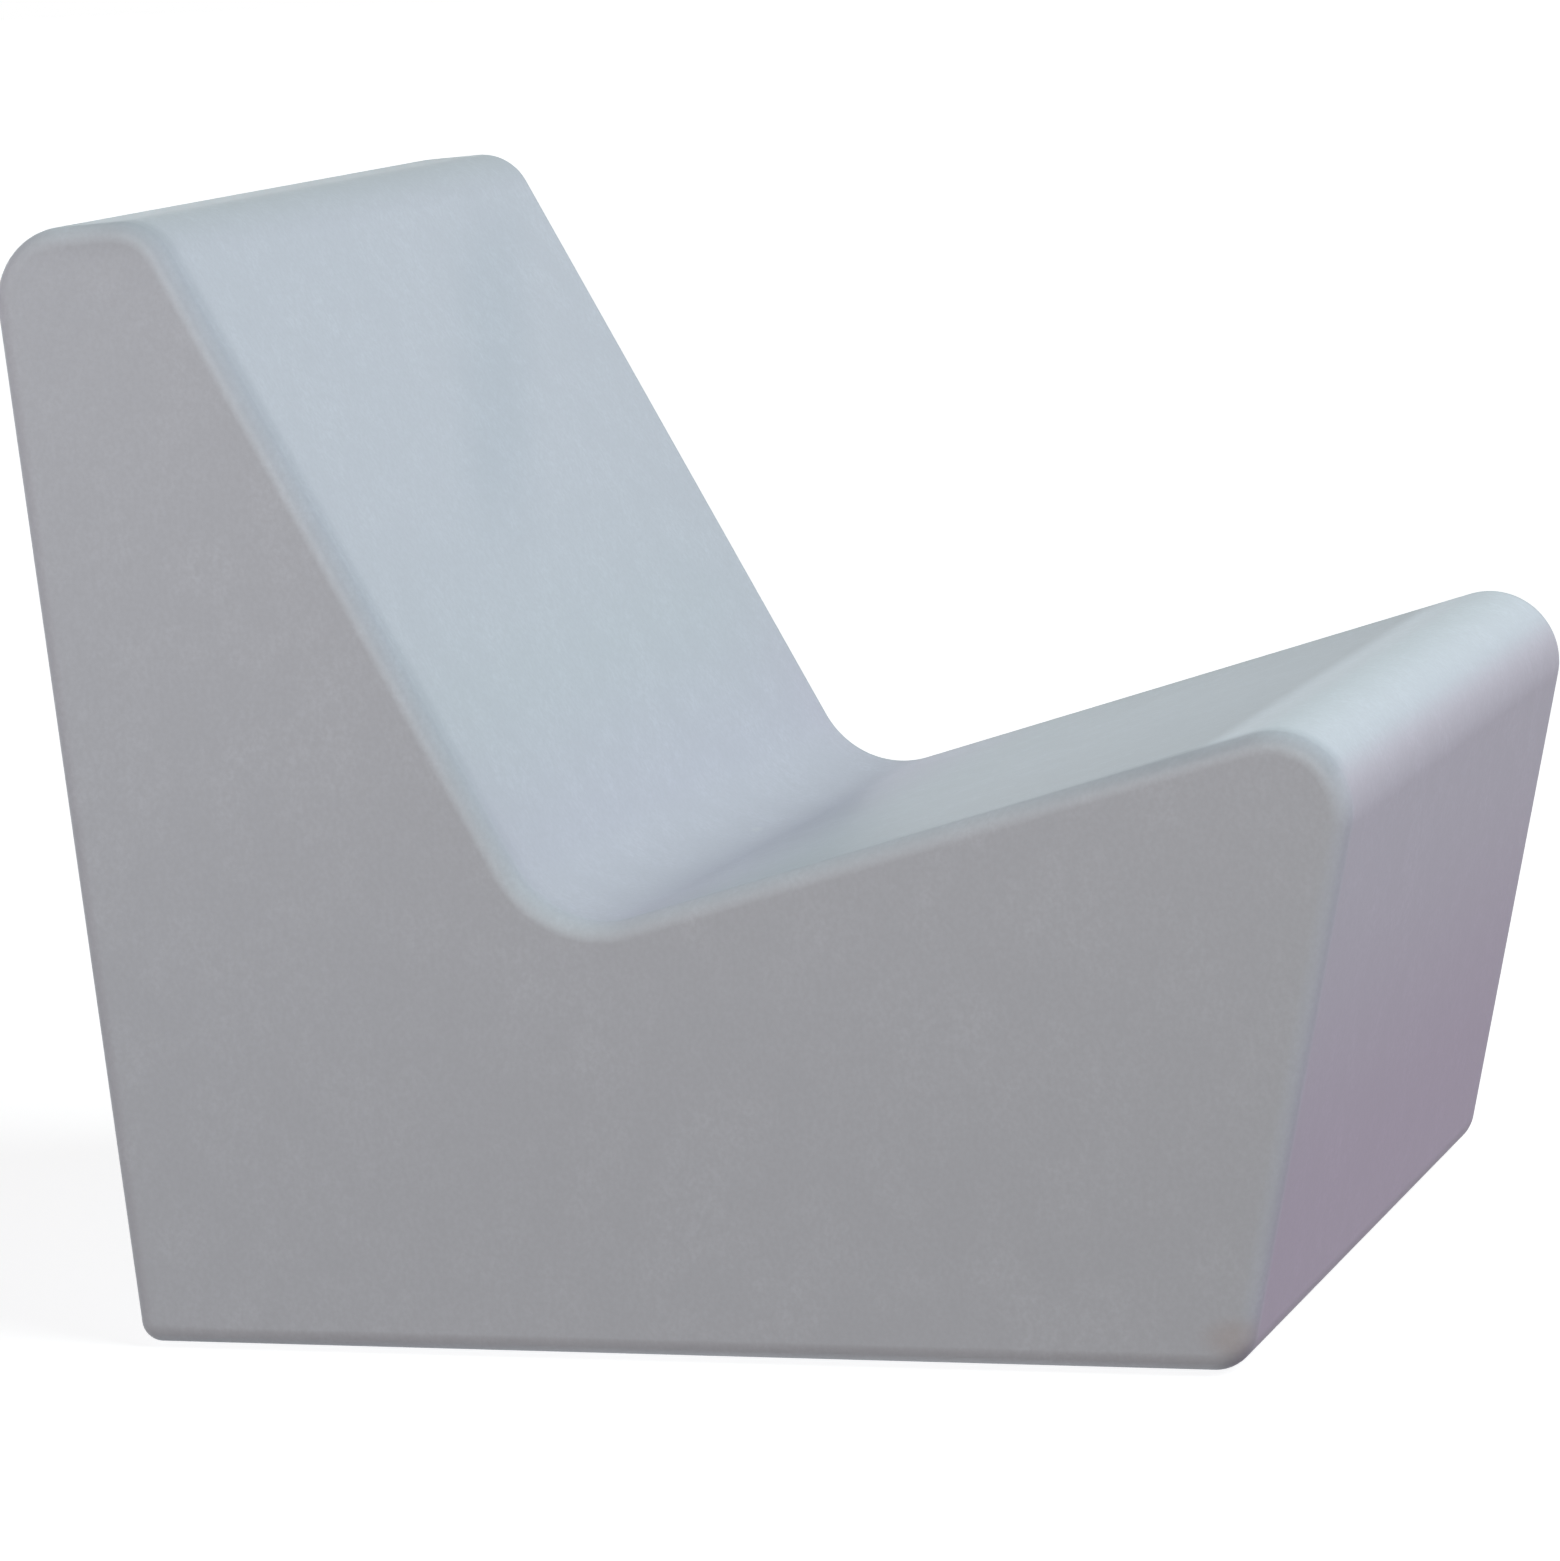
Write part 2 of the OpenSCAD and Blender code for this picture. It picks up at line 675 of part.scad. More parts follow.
module status_lens() {
    color("lightcyan") in_module() translate([lens_x, board_y]) {
        tube(lens_r, face_z - 0.2, board_z - 1.5);
        tube(lens_r + 1, floor_z, floor_z + 1);
    }
}

module battery_lead() {
    wire_z = board_top + plug_h / 2;
    color("crimson") in_module() wire([
        [holder_l / 2, holder_low + 6, cell_z - 2],
        [lead_x, holder_low + 6, cell_z - 2],
        [lead_x, board_y, cell_z - 2],
        [lead_x, board_y, wire_z],
        [board_l / 2, board_y, wire_z],
    ], lead_r);
}

module led_lead() {
    wire_z = board_top + plug_h / 2;
    over_z = led_top + 2;
    pad_x = -sqrt(pow(led_board_r - 1.7, 2) - board_y * board_y);
    color("white") in_module() wire([
        [-board_l / 2, board_y, wire_z],
        [-lead_x, board_y, wire_z],
        [-lead_x, board_y, over_z],
        [pad_x, board_y, over_z],
        [pad_x, board_y, led_top],
    ], lead_r);
}

shell();
ledge_inserts();
glide_inserts();
glides();
glide_screws();
module_gasket();
module_housing();
module_screws();
dome();
dome_seal();
dome_screws();
reflector();
reflector_screws();
led_board();
led_chips();
led_board_screws();
ir_receiver();
battery_holder();
battery_cells();
cell_contacts();
holder_screws();
control_board();
board_parts();
board_screws();
power_button();
switch_plunger();
power_switch();
button_seal();
charge_jack();
jack_contact();
jack_cap();
cap_root();
status_lens();
battery_lead();
led_lead();
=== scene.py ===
"""Light-up lounge chair: the moulded body and its small parts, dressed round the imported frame."""

import json
import math

import bmesh
import bpy
from bpy.props import FloatProperty, FloatVectorProperty, PointerProperty
from mathutils import Euler, Matrix, Vector


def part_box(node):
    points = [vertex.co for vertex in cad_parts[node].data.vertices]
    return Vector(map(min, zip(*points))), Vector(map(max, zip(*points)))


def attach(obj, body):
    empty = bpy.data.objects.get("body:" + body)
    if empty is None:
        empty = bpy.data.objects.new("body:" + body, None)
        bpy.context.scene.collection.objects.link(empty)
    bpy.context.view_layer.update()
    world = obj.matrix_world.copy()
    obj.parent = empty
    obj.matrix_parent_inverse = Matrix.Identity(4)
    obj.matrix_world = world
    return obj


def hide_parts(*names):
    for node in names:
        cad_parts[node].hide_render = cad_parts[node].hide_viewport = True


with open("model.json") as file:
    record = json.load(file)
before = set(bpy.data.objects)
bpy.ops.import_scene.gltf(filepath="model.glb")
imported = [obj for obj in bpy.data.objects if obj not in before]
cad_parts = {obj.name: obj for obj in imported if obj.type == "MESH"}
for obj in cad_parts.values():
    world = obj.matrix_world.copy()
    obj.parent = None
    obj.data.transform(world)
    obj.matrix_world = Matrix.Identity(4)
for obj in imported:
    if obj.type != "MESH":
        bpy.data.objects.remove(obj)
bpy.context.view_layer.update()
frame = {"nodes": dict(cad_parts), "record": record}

bl_info = {
    "name": "Light-up Lounge Chair",
    "version": (1, 0, 0),
    "blender": (4, 5, 0),
    "location": "View3D > Sidebar > Chair",
    "description": "Builds a light-up lounge chair, its finishes and its studio",
    "category": "Add Mesh",
}

MM = 0.001
SQUARE = ((-1, -1), (1, -1), (1, 1), (-1, 1))
PHOTO_WIDTH, PHOTO_HEIGHT = 1560, 1561
SENSOR = 36.0


# Sizes, finishes and studio settings


def length(name, description, millimetres):
    return FloatProperty(
        name=name, description=description, default=millimetres * MM,
        unit="LENGTH", subtype="DISTANCE", precision=4,
    )


def angle(name, description, degrees):
    return FloatProperty(
        name=name, description=description, default=math.radians(degrees), subtype="ANGLE",
    )


def colour(name, description, red, green, blue):
    """A colour given in display values from 0 to 255."""
    return FloatVectorProperty(
        name=name, description=description, subtype="COLOR", size=3, min=0, max=1,
        default=tuple(to_linear(value / 255) for value in (red, green, blue)),
    )


def to_linear(value):
    return value / 12.92 if value <= 0.04045 else ((value + 0.055) / 1.055) ** 2.4


class BodySizes(bpy.types.PropertyGroup):
    """Sizes of the moulded body, the same as the frame's"""

    width: length("Width", "Width of the body", 670)
    height: length("Height", "Height above the base of the corner of top and backrest", 704)
    base_length: length("Base length", "Length of the base between its sharp corners", 713)
    rear_lean: angle("Rear lean", "Lean of the rear face from upright", 4.8)
    front_rake: angle("Front rake", "Rake of the front face from upright", 12.5)
    crook_back: length("Crook back", "Distance of the crook line behind the base's front", 425)
    crook_height: length("Crook height", "Height of the crook line above the base", 258)
    seat_rise: angle("Seat rise", "Rise of the seat towards its front edge", 16)
    top_rise: angle("Top rise", "Rise of the top towards the backrest", 3.5)
    recline: angle("Recline", "Recline of the backrest from upright", 28.1)
    wall: length("Wall", "Wall thickness", 4.5)
    edge_radius: length("Edge radius", "Radius of the long edges down both sides", 12.5)
    hollow_radius: length("Hollow radius", "Least radius inside the hollow", 8)
    base_height: length("Base height", "Height of the base above the floor", 2)


class BaseSizes(bpy.types.PropertyGroup):
    """Sizes of the base's pocket, ledge and glides"""

    pocket_depth: length("Pocket depth", "Depth of the light module's pocket", 42)
    pocket_radius: length("Pocket radius", "Radius of the pocket at its ledge", 107)
    pocket_draft: angle("Pocket draft", "Draft of the pocket's wall", 3)
    rim_radius: length("Rim radius", "Radius of the pocket's rim", 5)
    opening_radius: length("Opening", "Radius of the light opening", 76)
    insert_radius: length("Insert radius", "Radius of a bore for a threaded insert", 4.55)
    insert_length: length("Insert length", "Length of a threaded insert", 12)
    boss_radius: length("Boss radius", "Radius of a boss round an insert", 8)
    screw_ring: length("Screw ring", "Radius of the ring of module screws", 86)
    glide_seat: length("Glide seat", "Depth of a glide's seat", 4)
    glide_radius: length("Glide radius", "Radius of a glide", 20)
    glide_inset: length("Glide inset", "Distance of a glide from the base's edges", 70)
    fit: length("Fit", "Room round a glide in its seat", 0.3)


class Finishes(bpy.types.PropertyGroup):
    """Colours of the chair"""

    body: colour("Body", "Moulded body", 200, 208, 216)
    rubber: colour("Rubber", "Glides, cap and seals", 44, 45, 47)
    button: colour("Button", "Power button", 206, 207, 205)
    housing: colour("Housing", "Light module's cup", 214, 215, 213)
    steel: colour("Steel", "Screws", 178, 180, 184)
    brass: colour("Brass", "Threaded inserts", 196, 160, 84)
    board: colour("Board", "Control board", 22, 92, 58)
    cell: colour("Cell", "Wrap of the battery cells", 38, 92, 158)
    glow: FloatProperty(
        name="Glow", description="Light that the body gives when it is switched on",
        default=0.0, min=0.0, max=10.0,
    )


class Studio(bpy.types.PropertyGroup):
    """Camera and lights"""

    camera_place: FloatVectorProperty(
        name="Camera place", description="Where the camera stands", subtype="TRANSLATION",
        unit="LENGTH", default=(-4.00122, -1.25341, 0.93026),
    )
    camera_turn: FloatVectorProperty(
        name="Camera turn", description="How the camera is turned", subtype="EULER",
        default=tuple(math.radians(a) for a in (81.5664, 2.6990, -72.5636)),
    )
    focal_pixels: FloatProperty(
        name="Focal length", description="Focal length in pixels of the photograph",
        default=6500.0,
    )
    key: FloatProperty(
        name="Key", description="Strength of the light from above the front", default=2.3,
    )
    side: FloatProperty(
        name="Side", description="Strength of the light from the camera's side", default=1.36,
    )
    front: FloatProperty(
        name="Front", description="Strength of the low light on the front face", default=0.3,
    )
    fill: FloatProperty(
        name="Fill", description="Strength of the light on the rear and the far side", default=1.5,
    )
    panel: FloatProperty(
        name="Panel", description="Power of the soft panel at the rear", default=11.5,
    )
    under: FloatProperty(
        name="Under", description="Power of the soft panel below the base", default=3.4,
    )
    room: FloatProperty(
        name="Room", description="Strength of the light from all round above", default=0.08,
    )
    bounce: FloatProperty(
        name="Bounce", description="Strength of the light that comes back from below", default=0.03,
    )


class ChairSettings(bpy.types.PropertyGroup):
    """Everything that a user would change on the chair"""

    body: PointerProperty(type=BodySizes)
    base: PointerProperty(type=BaseSizes)
    finishes: PointerProperty(type=Finishes)
    studio: PointerProperty(type=Studio)


# Shader maths


class Channel:
    """A socket that takes part in plain arithmetic"""

    def __init__(self, wiring, socket):
        self.wiring = wiring
        self.socket = socket

    def _math(self, operation, *values):
        return self.wiring.node("ShaderNodeMath", {"operation": operation}, dict(enumerate(values)))

    def __add__(self, other):
        return self._math("ADD", self, other)

    def __sub__(self, other):
        return self._math("SUBTRACT", self, other)

    def __rsub__(self, other):
        return self._math("SUBTRACT", other, self)

    def __mul__(self, other):
        return self._math("MULTIPLY", self, other)

    def __pow__(self, other):
        return self._math("POWER", self, other)

    def __abs__(self):
        return self._math("ABSOLUTE", self)

    __radd__ = __add__
    __rmul__ = __mul__

    def above(self, other):
        return self._math("GREATER_THAN", self, other)

    def most(self, other):
        return self._math("MAXIMUM", self, other)

    def spread(self, low, high, to_low=0.0, to_high=1.0):
        """Maps low..high to to_low..to_high smoothly, and clips"""
        return self.wiring.node(
            "ShaderNodeMapRange", {"interpolation_type": "SMOOTHSTEP"},
            {"Value": self, "From Min": low, "From Max": high, "To Min": to_low, "To Max": to_high},
        )


class Wiring:
    """A node tree of any kind: node() adds a node, and channels add their own maths"""

    def __init__(self, tree):
        self.tree = tree

    @classmethod
    def bare(cls, owner):
        """The emptied tree of a material or of a world"""
        owner.use_nodes = True
        owner.node_tree.nodes.clear()
        return cls(owner.node_tree)

    def node(self, kind, settings, inputs, output=0):
        """Adds a node with its settings and its sockets' values or links; gives one output"""
        node = self.tree.nodes.new(kind)
        for setting, value in settings.items():
            setattr(node, setting, value)
        for socket, value in inputs.items():
            if isinstance(value, Channel):
                self.tree.links.new(value.socket, node.inputs[socket])
            else:
                node.inputs[socket].default_value = value
        return Channel(self, node.outputs[output]) if node.outputs else None

    def vector(self, operation, first, second=(0, 0, 0), output="Vector"):
        return self.node(
            "ShaderNodeVectorMath", {"operation": operation}, {0: first, 1: second}, output
        )

    def seen_directly(self):
        """1 where the camera, a gloss or a clear material looks straight at it"""
        camera, gloss, clear = (
            self.node("ShaderNodeLightPath", {}, {}, f"Is {kind} Ray")
            for kind in ("Camera", "Glossy", "Transmission")
        )
        return camera.most(gloss).most(clear)


class Finish(Wiring):
    """Builds one material round its main shader"""

    def __init__(self, name, base, roughness, **uniform):
        self.material = bpy.data.materials.new(name)
        self.material.use_nodes = True
        super().__init__(self.material.node_tree)
        self.shader = self.tree.nodes["Principled BSDF"]
        self.base = tuple(base)
        self.material.diffuse_color = (*self.base, 1.0)
        self.shader.inputs["Base Color"].default_value = (*self.base, 1.0)
        self.shader.inputs["Roughness"].default_value = roughness
        for socket, value in uniform.items():
            self.shader.inputs[socket.replace("_", " ")].default_value = value
        self.place = self.node("ShaderNodeTexCoord", {}, {}, "Object")

    def noise(self, scale, detail=2.0, roughness=0.5, at=None):
        return self.node(
            "ShaderNodeTexNoise", {},
            {"Vector": at or self.place, "Scale": scale, "Detail": detail, "Roughness": roughness},
        )

    def cells(self, scale, **settings):
        return self.node("ShaderNodeTexVoronoi", settings, {"Vector": self.place, "Scale": scale})

    def stretched(self, x, y, z):
        """Object coordinates scaled apart along the three axes"""
        return self.vector("MULTIPLY", self.place, (x, y, z))

    def axes(self):
        return [self.node("ShaderNodeSeparateXYZ", {}, {0: self.place}, axis) for axis in range(3)]

    def mixed(self, amount, first, second):
        """Colour from first to second by amount"""
        first, second = (
            colour if isinstance(colour, Channel) else (*colour, 1.0) for colour in (first, second)
        )
        return self.node("ShaderNodeMix", {"data_type": "RGBA"}, {0: amount, 6: first, 7: second}, 2)

    def toned(self, amount, colour, factors):
        """Colour with each of its parts times a factor of its own, by amount"""
        return self.mixed(amount, colour, self.vector("MULTIPLY", colour, factors))

    def shade(self, factor):
        """The base colour made lighter or darker by a plain factor"""
        return tuple(min(channel * factor, 1.0) for channel in self.base)

    def closeness(self, middle, reach):
        """1 in the middle of an oval with these half lengths, 0 outside it"""
        offset = self.vector("DIVIDE", self.vector("SUBTRACT", self.place, middle), reach)
        return self.vector("LENGTH", offset, output="Value").spread(1.0, 0.2)

    def drive(self, socket, channel):
        self.tree.links.new(channel.socket, self.shader.inputs[socket])

    def coat(self, amount, first, second, roughness):
        """Colour from first to second by amount, and the roughness"""
        self.drive("Base Color", self.mixed(amount, first, second))
        self.drive("Roughness", roughness)

    def bump(self, height, depth, strength):
        """depth is how far one unit of height stands up, in metres"""
        normal = self.node(
            "ShaderNodeBump", {}, {"Height": height, "Distance": depth, "Strength": strength},
            "Normal",
        )
        self.drive("Normal", normal)


# Colour factors of the tones over the body, most of them painted light and shade
PAINTED_FRONT_CAST, PAINTED_LOW_FRONT_SHADE = (1.03, 0.93, 0.955), (0.91, 0.82, 0.89)
CROOK_WARMTH, PAINTED_BACK_REFLECTION = (1.035, 0.97, 1.025), (0.92, 0.94, 0.945)
PAINTED_EDGE_SHADE, PAINTED_NEAR_EDGE_SHADE, PAINTED_FOOT_SHADE = (0.93, 0.93, 0.935), (0.87, 0.88, 0.89), (0.86, 0.86, 0.86)
# Marks of use: middle, half lengths, amount and colour factors
STAIN = ((-0.335, -0.343, 0.024), (0.02, 0.03, 0.017), 0.45, (0.92, 0.76, 0.68))
SCUFF = ((0.018, 0.0573, 0.2727), (0.013, 0.005, 0.005), 0.5, (1.14, 1.14, 1.08))


def body_finish(name, colour, glow, view, half):
    """Rotationally moulded polyethylene: a fine pebbled grain over faint mottling

    Painted light and shade: the wall is paler up high and at its nose, darker on its top, round
    its edges, across the backrest and near the floor, and darker and violet down its front. A scuff
    in the crook and a stain at the near corner are the marks of use.
    """
    finish = Finish(name, colour, 0.54, Specular_IOR_Level=0.1)
    mottling, cloud = finish.noise(26, 3), finish.noise(4.5, 2)
    fleck, grain = finish.noise(105, 3, 0.6), finish.noise(320, 3, 0.62)
    pores = finish.cells(310).spread(0.05, 0.22)
    tone = finish.mixed(mottling.spread(0.33, 0.67), finish.shade(0.957), finish.shade(1.034))
    for pattern, low, high, amount, factor in (
        (cloud, 0.3, 0.7, 0.55, 0.975), (fleck, 0.3, 0.7, 0.8, 0.945), (grain, 0.7, 0.3, 0.7, 0.9),
    ):
        tone = finish.mixed(pattern.spread(low, high) * amount, tone, finish.shade(factor))
    for amount, tint in body_tones(finish, view, half):
        tone = finish.toned(amount, tone, tint)
    # Painted light and shade: the colour scaled by height, at the nose and on the top
    tone = finish.node(
        "ShaderNodeVectorMath", {"operation": "SCALE"},
        {0: tone, "Scale": painted_light_lift(finish, view, half)},
    )
    finish.drive("Base Color", tone)
    finish.drive("Roughness", 0.5 + grain * 0.1 + mottling * 0.04)
    height = grain * 0.6 + pores * 0.25 + fleck * 0.8 + cloud * 6.0 + mottling * 0.9
    finish.bump(height, 0.00016, 0.55)
    if glow > 0:
        finish.shader.inputs["Emission Color"].default_value = (1.0, 0.96, 0.9, 1.0)
        finish.shader.inputs["Emission Strength"].default_value = glow
    return finish.material


def body_tones(finish, view, half):
    """Where each tone lies on the body, from 0 to 1, with its colour factors"""
    x, y, z = finish.axes()
    inner, from_side = abs(x).spread(half, half - 0.02), half - abs(x)

    # Painted light down the front, by the distance behind the plane of the front face: a painted
    # violet cast, and painted shade lower down
    corner, up_front = view.corners[0], view.heading(NOSE)
    behind = (y - corner.x) * up_front.y * -1 + (z - corner.y) * up_front.x
    front, off_front = behind.spread(0.02, 0.004) * inner, behind.spread(0.004, 0.02)
    yield front, PAINTED_FRONT_CAST
    # Painted shade: darker and more violet towards the bottom of the front
    yield front * z.spread(0.33, 0.06) * z.spread(0.002, 0.024), PAINTED_LOW_FRONT_SHADE

    # A warmer tone in the crook
    crook = view.corners[CROOK]
    yield distance(y - crook.x, z - crook.y).spread(0.17, 0.04) * inner, CROOK_WARMTH

    # A painted reflection: a long faint darker band aslant across the backrest
    aslant = abs(x - 0.187 - (z - 0.646) * 1.5).spread(0.11, 0.01)
    yield aslant * z.spread(0.44, 0.54) * z.spread(0.7, 0.62) * inner * 0.8, PAINTED_BACK_REFLECTION

    # Painted shade along the round edges, and most on the near side
    yield from_side.spread(0, 0.004) * from_side.spread(0.0145, 0.008) * off_front, PAINTED_EDGE_SHADE
    # Painted shade along the near side's round edges
    near = x.spread(-0.304, -0.32) * from_side.spread(0.0003, 0.003) * off_front
    along = y.spread(0.02, 0.2) - y.spread(0.32, 0.36) + y.spread(-0.2, -0.33)
    yield near * z.spread(0.1, 0.2) * along, PAINTED_NEAR_EDGE_SHADE

    for middle, reach, amount, tint in (STAIN, SCUFF):
        yield finish.closeness(middle, reach) * amount, tint
    # Painted shade: darker towards the floor, broken up by noise
    yield z.spread(0.05, 0.004) * finish.noise(14, 3).spread(0.4, 0.75) * 0.16, PAINTED_FOOT_SHADE


def painted_light_lift(finish, view, half):
    """Painted light and shade: the wall paler up high and darker low down, a painted highlight at
    its nose and painted shade on its top
    """
    x, y, z = finish.axes()
    nose_y, nose_z = view.centre(NOSE)
    from_nose = distance(y - nose_y, z - nose_z)
    nose = from_nose.spread(0.062, 0.0485) * z.spread(0.345, 0.385)
    nose = nose * abs(x).spread(half, half - 0.02)
    return z.spread(0.0, 0.7, 0.9, 1.08) * (1 + nose * 0.3) * z.spread(0.678, 0.7, 1.0, 0.9)


def distance(across, up):
    """How far a place is from a line along X, from its two offsets"""
    return (across * across + up * up) ** 0.5


def rubber_finish(name, colour):
    """Soft dull rubber with a fine matt grain and a little dust"""
    finish = Finish(name, colour, 0.78, Specular_IOR_Level=0.35)
    grain = finish.noise(1500, 2)
    dust = finish.noise(55, 4).spread(0.5, 0.8)
    finish.coat(dust * 0.35, finish.base, finish.shade(1.7), 0.7 + dust * 0.15 + grain * 0.08)
    finish.bump(grain + dust * 0.3, 0.00008, 0.6)
    return finish.material


def satin_plastic_finish(name, colour, roughness, sheen_grain=1100.0):
    """Injection-moulded plastic with a spark-eroded grain"""
    finish = Finish(name, colour, roughness, Specular_IOR_Level=0.5)
    grain = finish.noise(sheen_grain, 2, 0.6)
    flow = finish.noise(18, 2)
    finish.coat(
        flow.spread(0.3, 0.7), finish.shade(0.96), finish.shade(1.02),
        roughness - 0.04 + grain * 0.12,
    )
    finish.bump(grain, 0.00005, 0.5)
    return finish.material


def metal_finish(name, colour, roughness):
    """Machined metal with fine tool marks and a little tarnish"""
    finish = Finish(name, colour, roughness, Metallic=1.0)
    marks = finish.noise(1.0, 2, at=finish.stretched(120, 120, 900))
    tarnish = finish.noise(90, 3)
    finish.coat(
        tarnish.spread(0.35, 0.75), finish.shade(1.04), finish.shade(0.8),
        roughness - 0.05 + marks * 0.14,
    )
    finish.bump(marks, 0.00003, 0.5)
    return finish.material


def frosted_finish():
    """Milky diffuser: light passes, and nothing behind it shows sharply"""
    finish = Finish("milky_dome", (0.86, 0.88, 0.9), 0.5, Transmission_Weight=0.35, IOR=1.49)
    haze = finish.noise(40, 3)
    finish.coat(
        haze.spread(0.35, 0.65), (0.84, 0.86, 0.88), (0.9, 0.92, 0.94), 0.46 + haze * 0.1
    )
    return finish.material


def board_finish(name, mask, copper):
    """Circuit board: tracks under a solder mask, with the weave faintly showing"""
    finish = Finish(name, mask, 0.34, Specular_IOR_Level=0.55)
    tracks = finish.cells(210, distance="CHEBYCHEV", feature="F2")
    lines = finish.node("ShaderNodeMath", {"operation": "FRACT"}, {0: tracks * 3.0}).above(0.62)
    weave = finish.noise(1.0, 1, at=finish.stretched(2200, 2200, 300))
    finish.coat(lines * 0.75, finish.shade(0.9), copper, 0.3 + weave * 0.12)
    finish.bump(lines * 0.8 + weave * 0.2, 0.00004, 0.7)
    return finish.material


def wrap_finish(name, colour):
    """Shrink wrap on the cells, with long faint creases"""
    finish = Finish(name, colour, 0.3, Specular_IOR_Level=0.6)
    creases = finish.noise(1.0, 3, at=finish.stretched(14, 260, 260))
    finish.coat(
        creases.spread(0.35, 0.7), finish.shade(0.9), finish.shade(1.12), 0.24 + creases * 0.14
    )
    finish.bump(creases, 0.00012, 0.5)
    return finish.material


def insulation_finish(name, colour):
    """Wire insulation, slightly waxy"""
    finish = Finish(name, colour, 0.42)
    marks = finish.noise(420, 2)
    finish.coat(
        marks.spread(0.3, 0.7), finish.shade(0.93), finish.shade(1.05), 0.38 + marks * 0.1
    )
    return finish.material


def phosphor_finish(name):
    """Yellow phosphor of the light chips"""
    finish = Finish(name, (0.78, 0.62, 0.18), 0.5)
    dots = finish.noise(2600, 2)
    finish.coat(
        dots.spread(0.3, 0.7), (0.72, 0.56, 0.14), (0.86, 0.72, 0.28), 0.44 + dots * 0.1
    )
    return finish.material


def lens_finish():
    """Clear light guide of the status lamp"""
    finish = Finish("clear_lens", (0.85, 0.93, 0.95), 0.14, Transmission_Weight=0.7, IOR=1.49)
    finish.drive("Roughness", 0.1 + finish.noise(600, 2) * 0.1)
    return finish.material


# Side view of the body

# Corner radii in millimetres: low front, low rear, rear top, rest top, crook, nose
CORNER_RADII = (27, 14, 47, 36, 63, 47)
REAR_TOP, CROOK, NOSE = 2, 4, 5


def pair(y, z):
    return Vector((y, z))


class SideView:
    """The body's side view: its sharp corners with a radius each, anticlockwise from the front"""

    def __init__(self, corners, radii):
        self.corners = corners
        self.radii = radii
        self.count = len(corners)

    @classmethod
    def of_body(cls, body):
        """The view that a body's sizes give, centred front to back and raised to its base"""
        tan = math.tan
        run = (body.crook_back + body.crook_height * tan(body.front_rake)) / (
            math.cos(body.seat_rise) - tan(body.front_rake) * math.sin(body.seat_rise)
        )
        rest_y = body.crook_back + (body.height - body.crook_height) * tan(body.recline)
        rear_z = (body.height - (body.base_length - rest_y) * tan(body.top_rise)) / (
            1 + tan(body.rear_lean) * tan(body.top_rise)
        )
        corners = [
            pair(0, 0),
            pair(body.base_length, 0),
            pair(body.base_length + rear_z * tan(body.rear_lean), rear_z),
            pair(rest_y, body.height),
            pair(body.crook_back, body.crook_height),
            pair(
                body.crook_back - run * math.cos(body.seat_rise),
                body.crook_height + run * math.sin(body.seat_rise),
            ),
        ]
        radii = [radius * MM for radius in CORNER_RADII]
        view = cls(corners, radii)
        front, rear = view.centre(NOSE).x - radii[NOSE], view.centre(REAR_TOP).x + radii[REAR_TOP]
        middle = pair(-(front + rear) / 2, body.base_height)
        return cls([corner + middle for corner in corners], radii)

    @property
    def base_middle(self):
        return (self.corners[0].x + self.corners[1].x) / 2

    def heading(self, i):
        """Direction of the run after corner i"""
        return (self.corners[(i + 1) % self.count] - self.corners[i % self.count]).normalized()

    def before(self, i):
        """Direction of the run before corner i"""
        return self.heading(i - 1)

    def turn(self, i):
        """How far the view turns at corner i, above 0 to the left"""
        a, b = self.before(i), self.heading(i)
        return math.atan2(a.x * b.y - a.y * b.x, a.dot(b))

    def cut(self, i):
        """How far from corner i its arc begins"""
        return self.radii[i] * math.tan(abs(self.turn(i)) / 2)

    def centre(self, i):
        """Centre of the arc at corner i"""
        start = self.corners[i] - self.before(i) * self.cut(i)
        return start + inward(self.before(i)) * math.copysign(self.radii[i], self.turn(i))

    def inset(self, depth, least):
        """The same view further in, as the hollow is"""
        corners = []
        for i, corner in enumerate(self.corners):
            a, b = inward(self.before(i)), inward(self.heading(i))
            corners.append(corner + (a + b) * (depth / (1 + a.dot(b))))
        radii = [
            radius + depth if self.turn(i) < 0 else max(radius - depth, least)
            for i, radius in enumerate(self.radii)
        ]
        return SideView(corners, radii)

    def stations(self, arc_step, run_step):
        """Points round the view with their outward directions and the number of their run

        A run is the straight stretch after corner i. Its two ends count as part of it.
        """
        found = []
        for i in range(self.count):
            bend, radius = self.turn(i), self.radii[i]
            side = 1 if bend > 0 else -1
            centre = self.centre(i)
            steps = max(2, math.ceil(abs(bend) / arc_step))
            first = -inward(self.before(i))
            for k in range(1, steps):
                out = first.copy()
                out.rotate(rotation_by(bend * k / steps))
                found.append((centre + out * radius * side, out, None))
            end = self.corners[i] + self.heading(i) * self.cut(i)
            following = (i + 1) % self.count
            stop = self.corners[following] - self.heading(i) * self.cut(following)
            out = -inward(self.heading(i))
            pieces = max(1, round((stop - end).length / run_step))
            for k in range(pieces + 1):
                found.append((end.lerp(stop, k / pieces), out, i))
        return found


def inward(direction):
    return Vector((-direction.y, direction.x))


def rotation_by(radians):
    return Matrix.Rotation(radians, 2)


# Mesh building


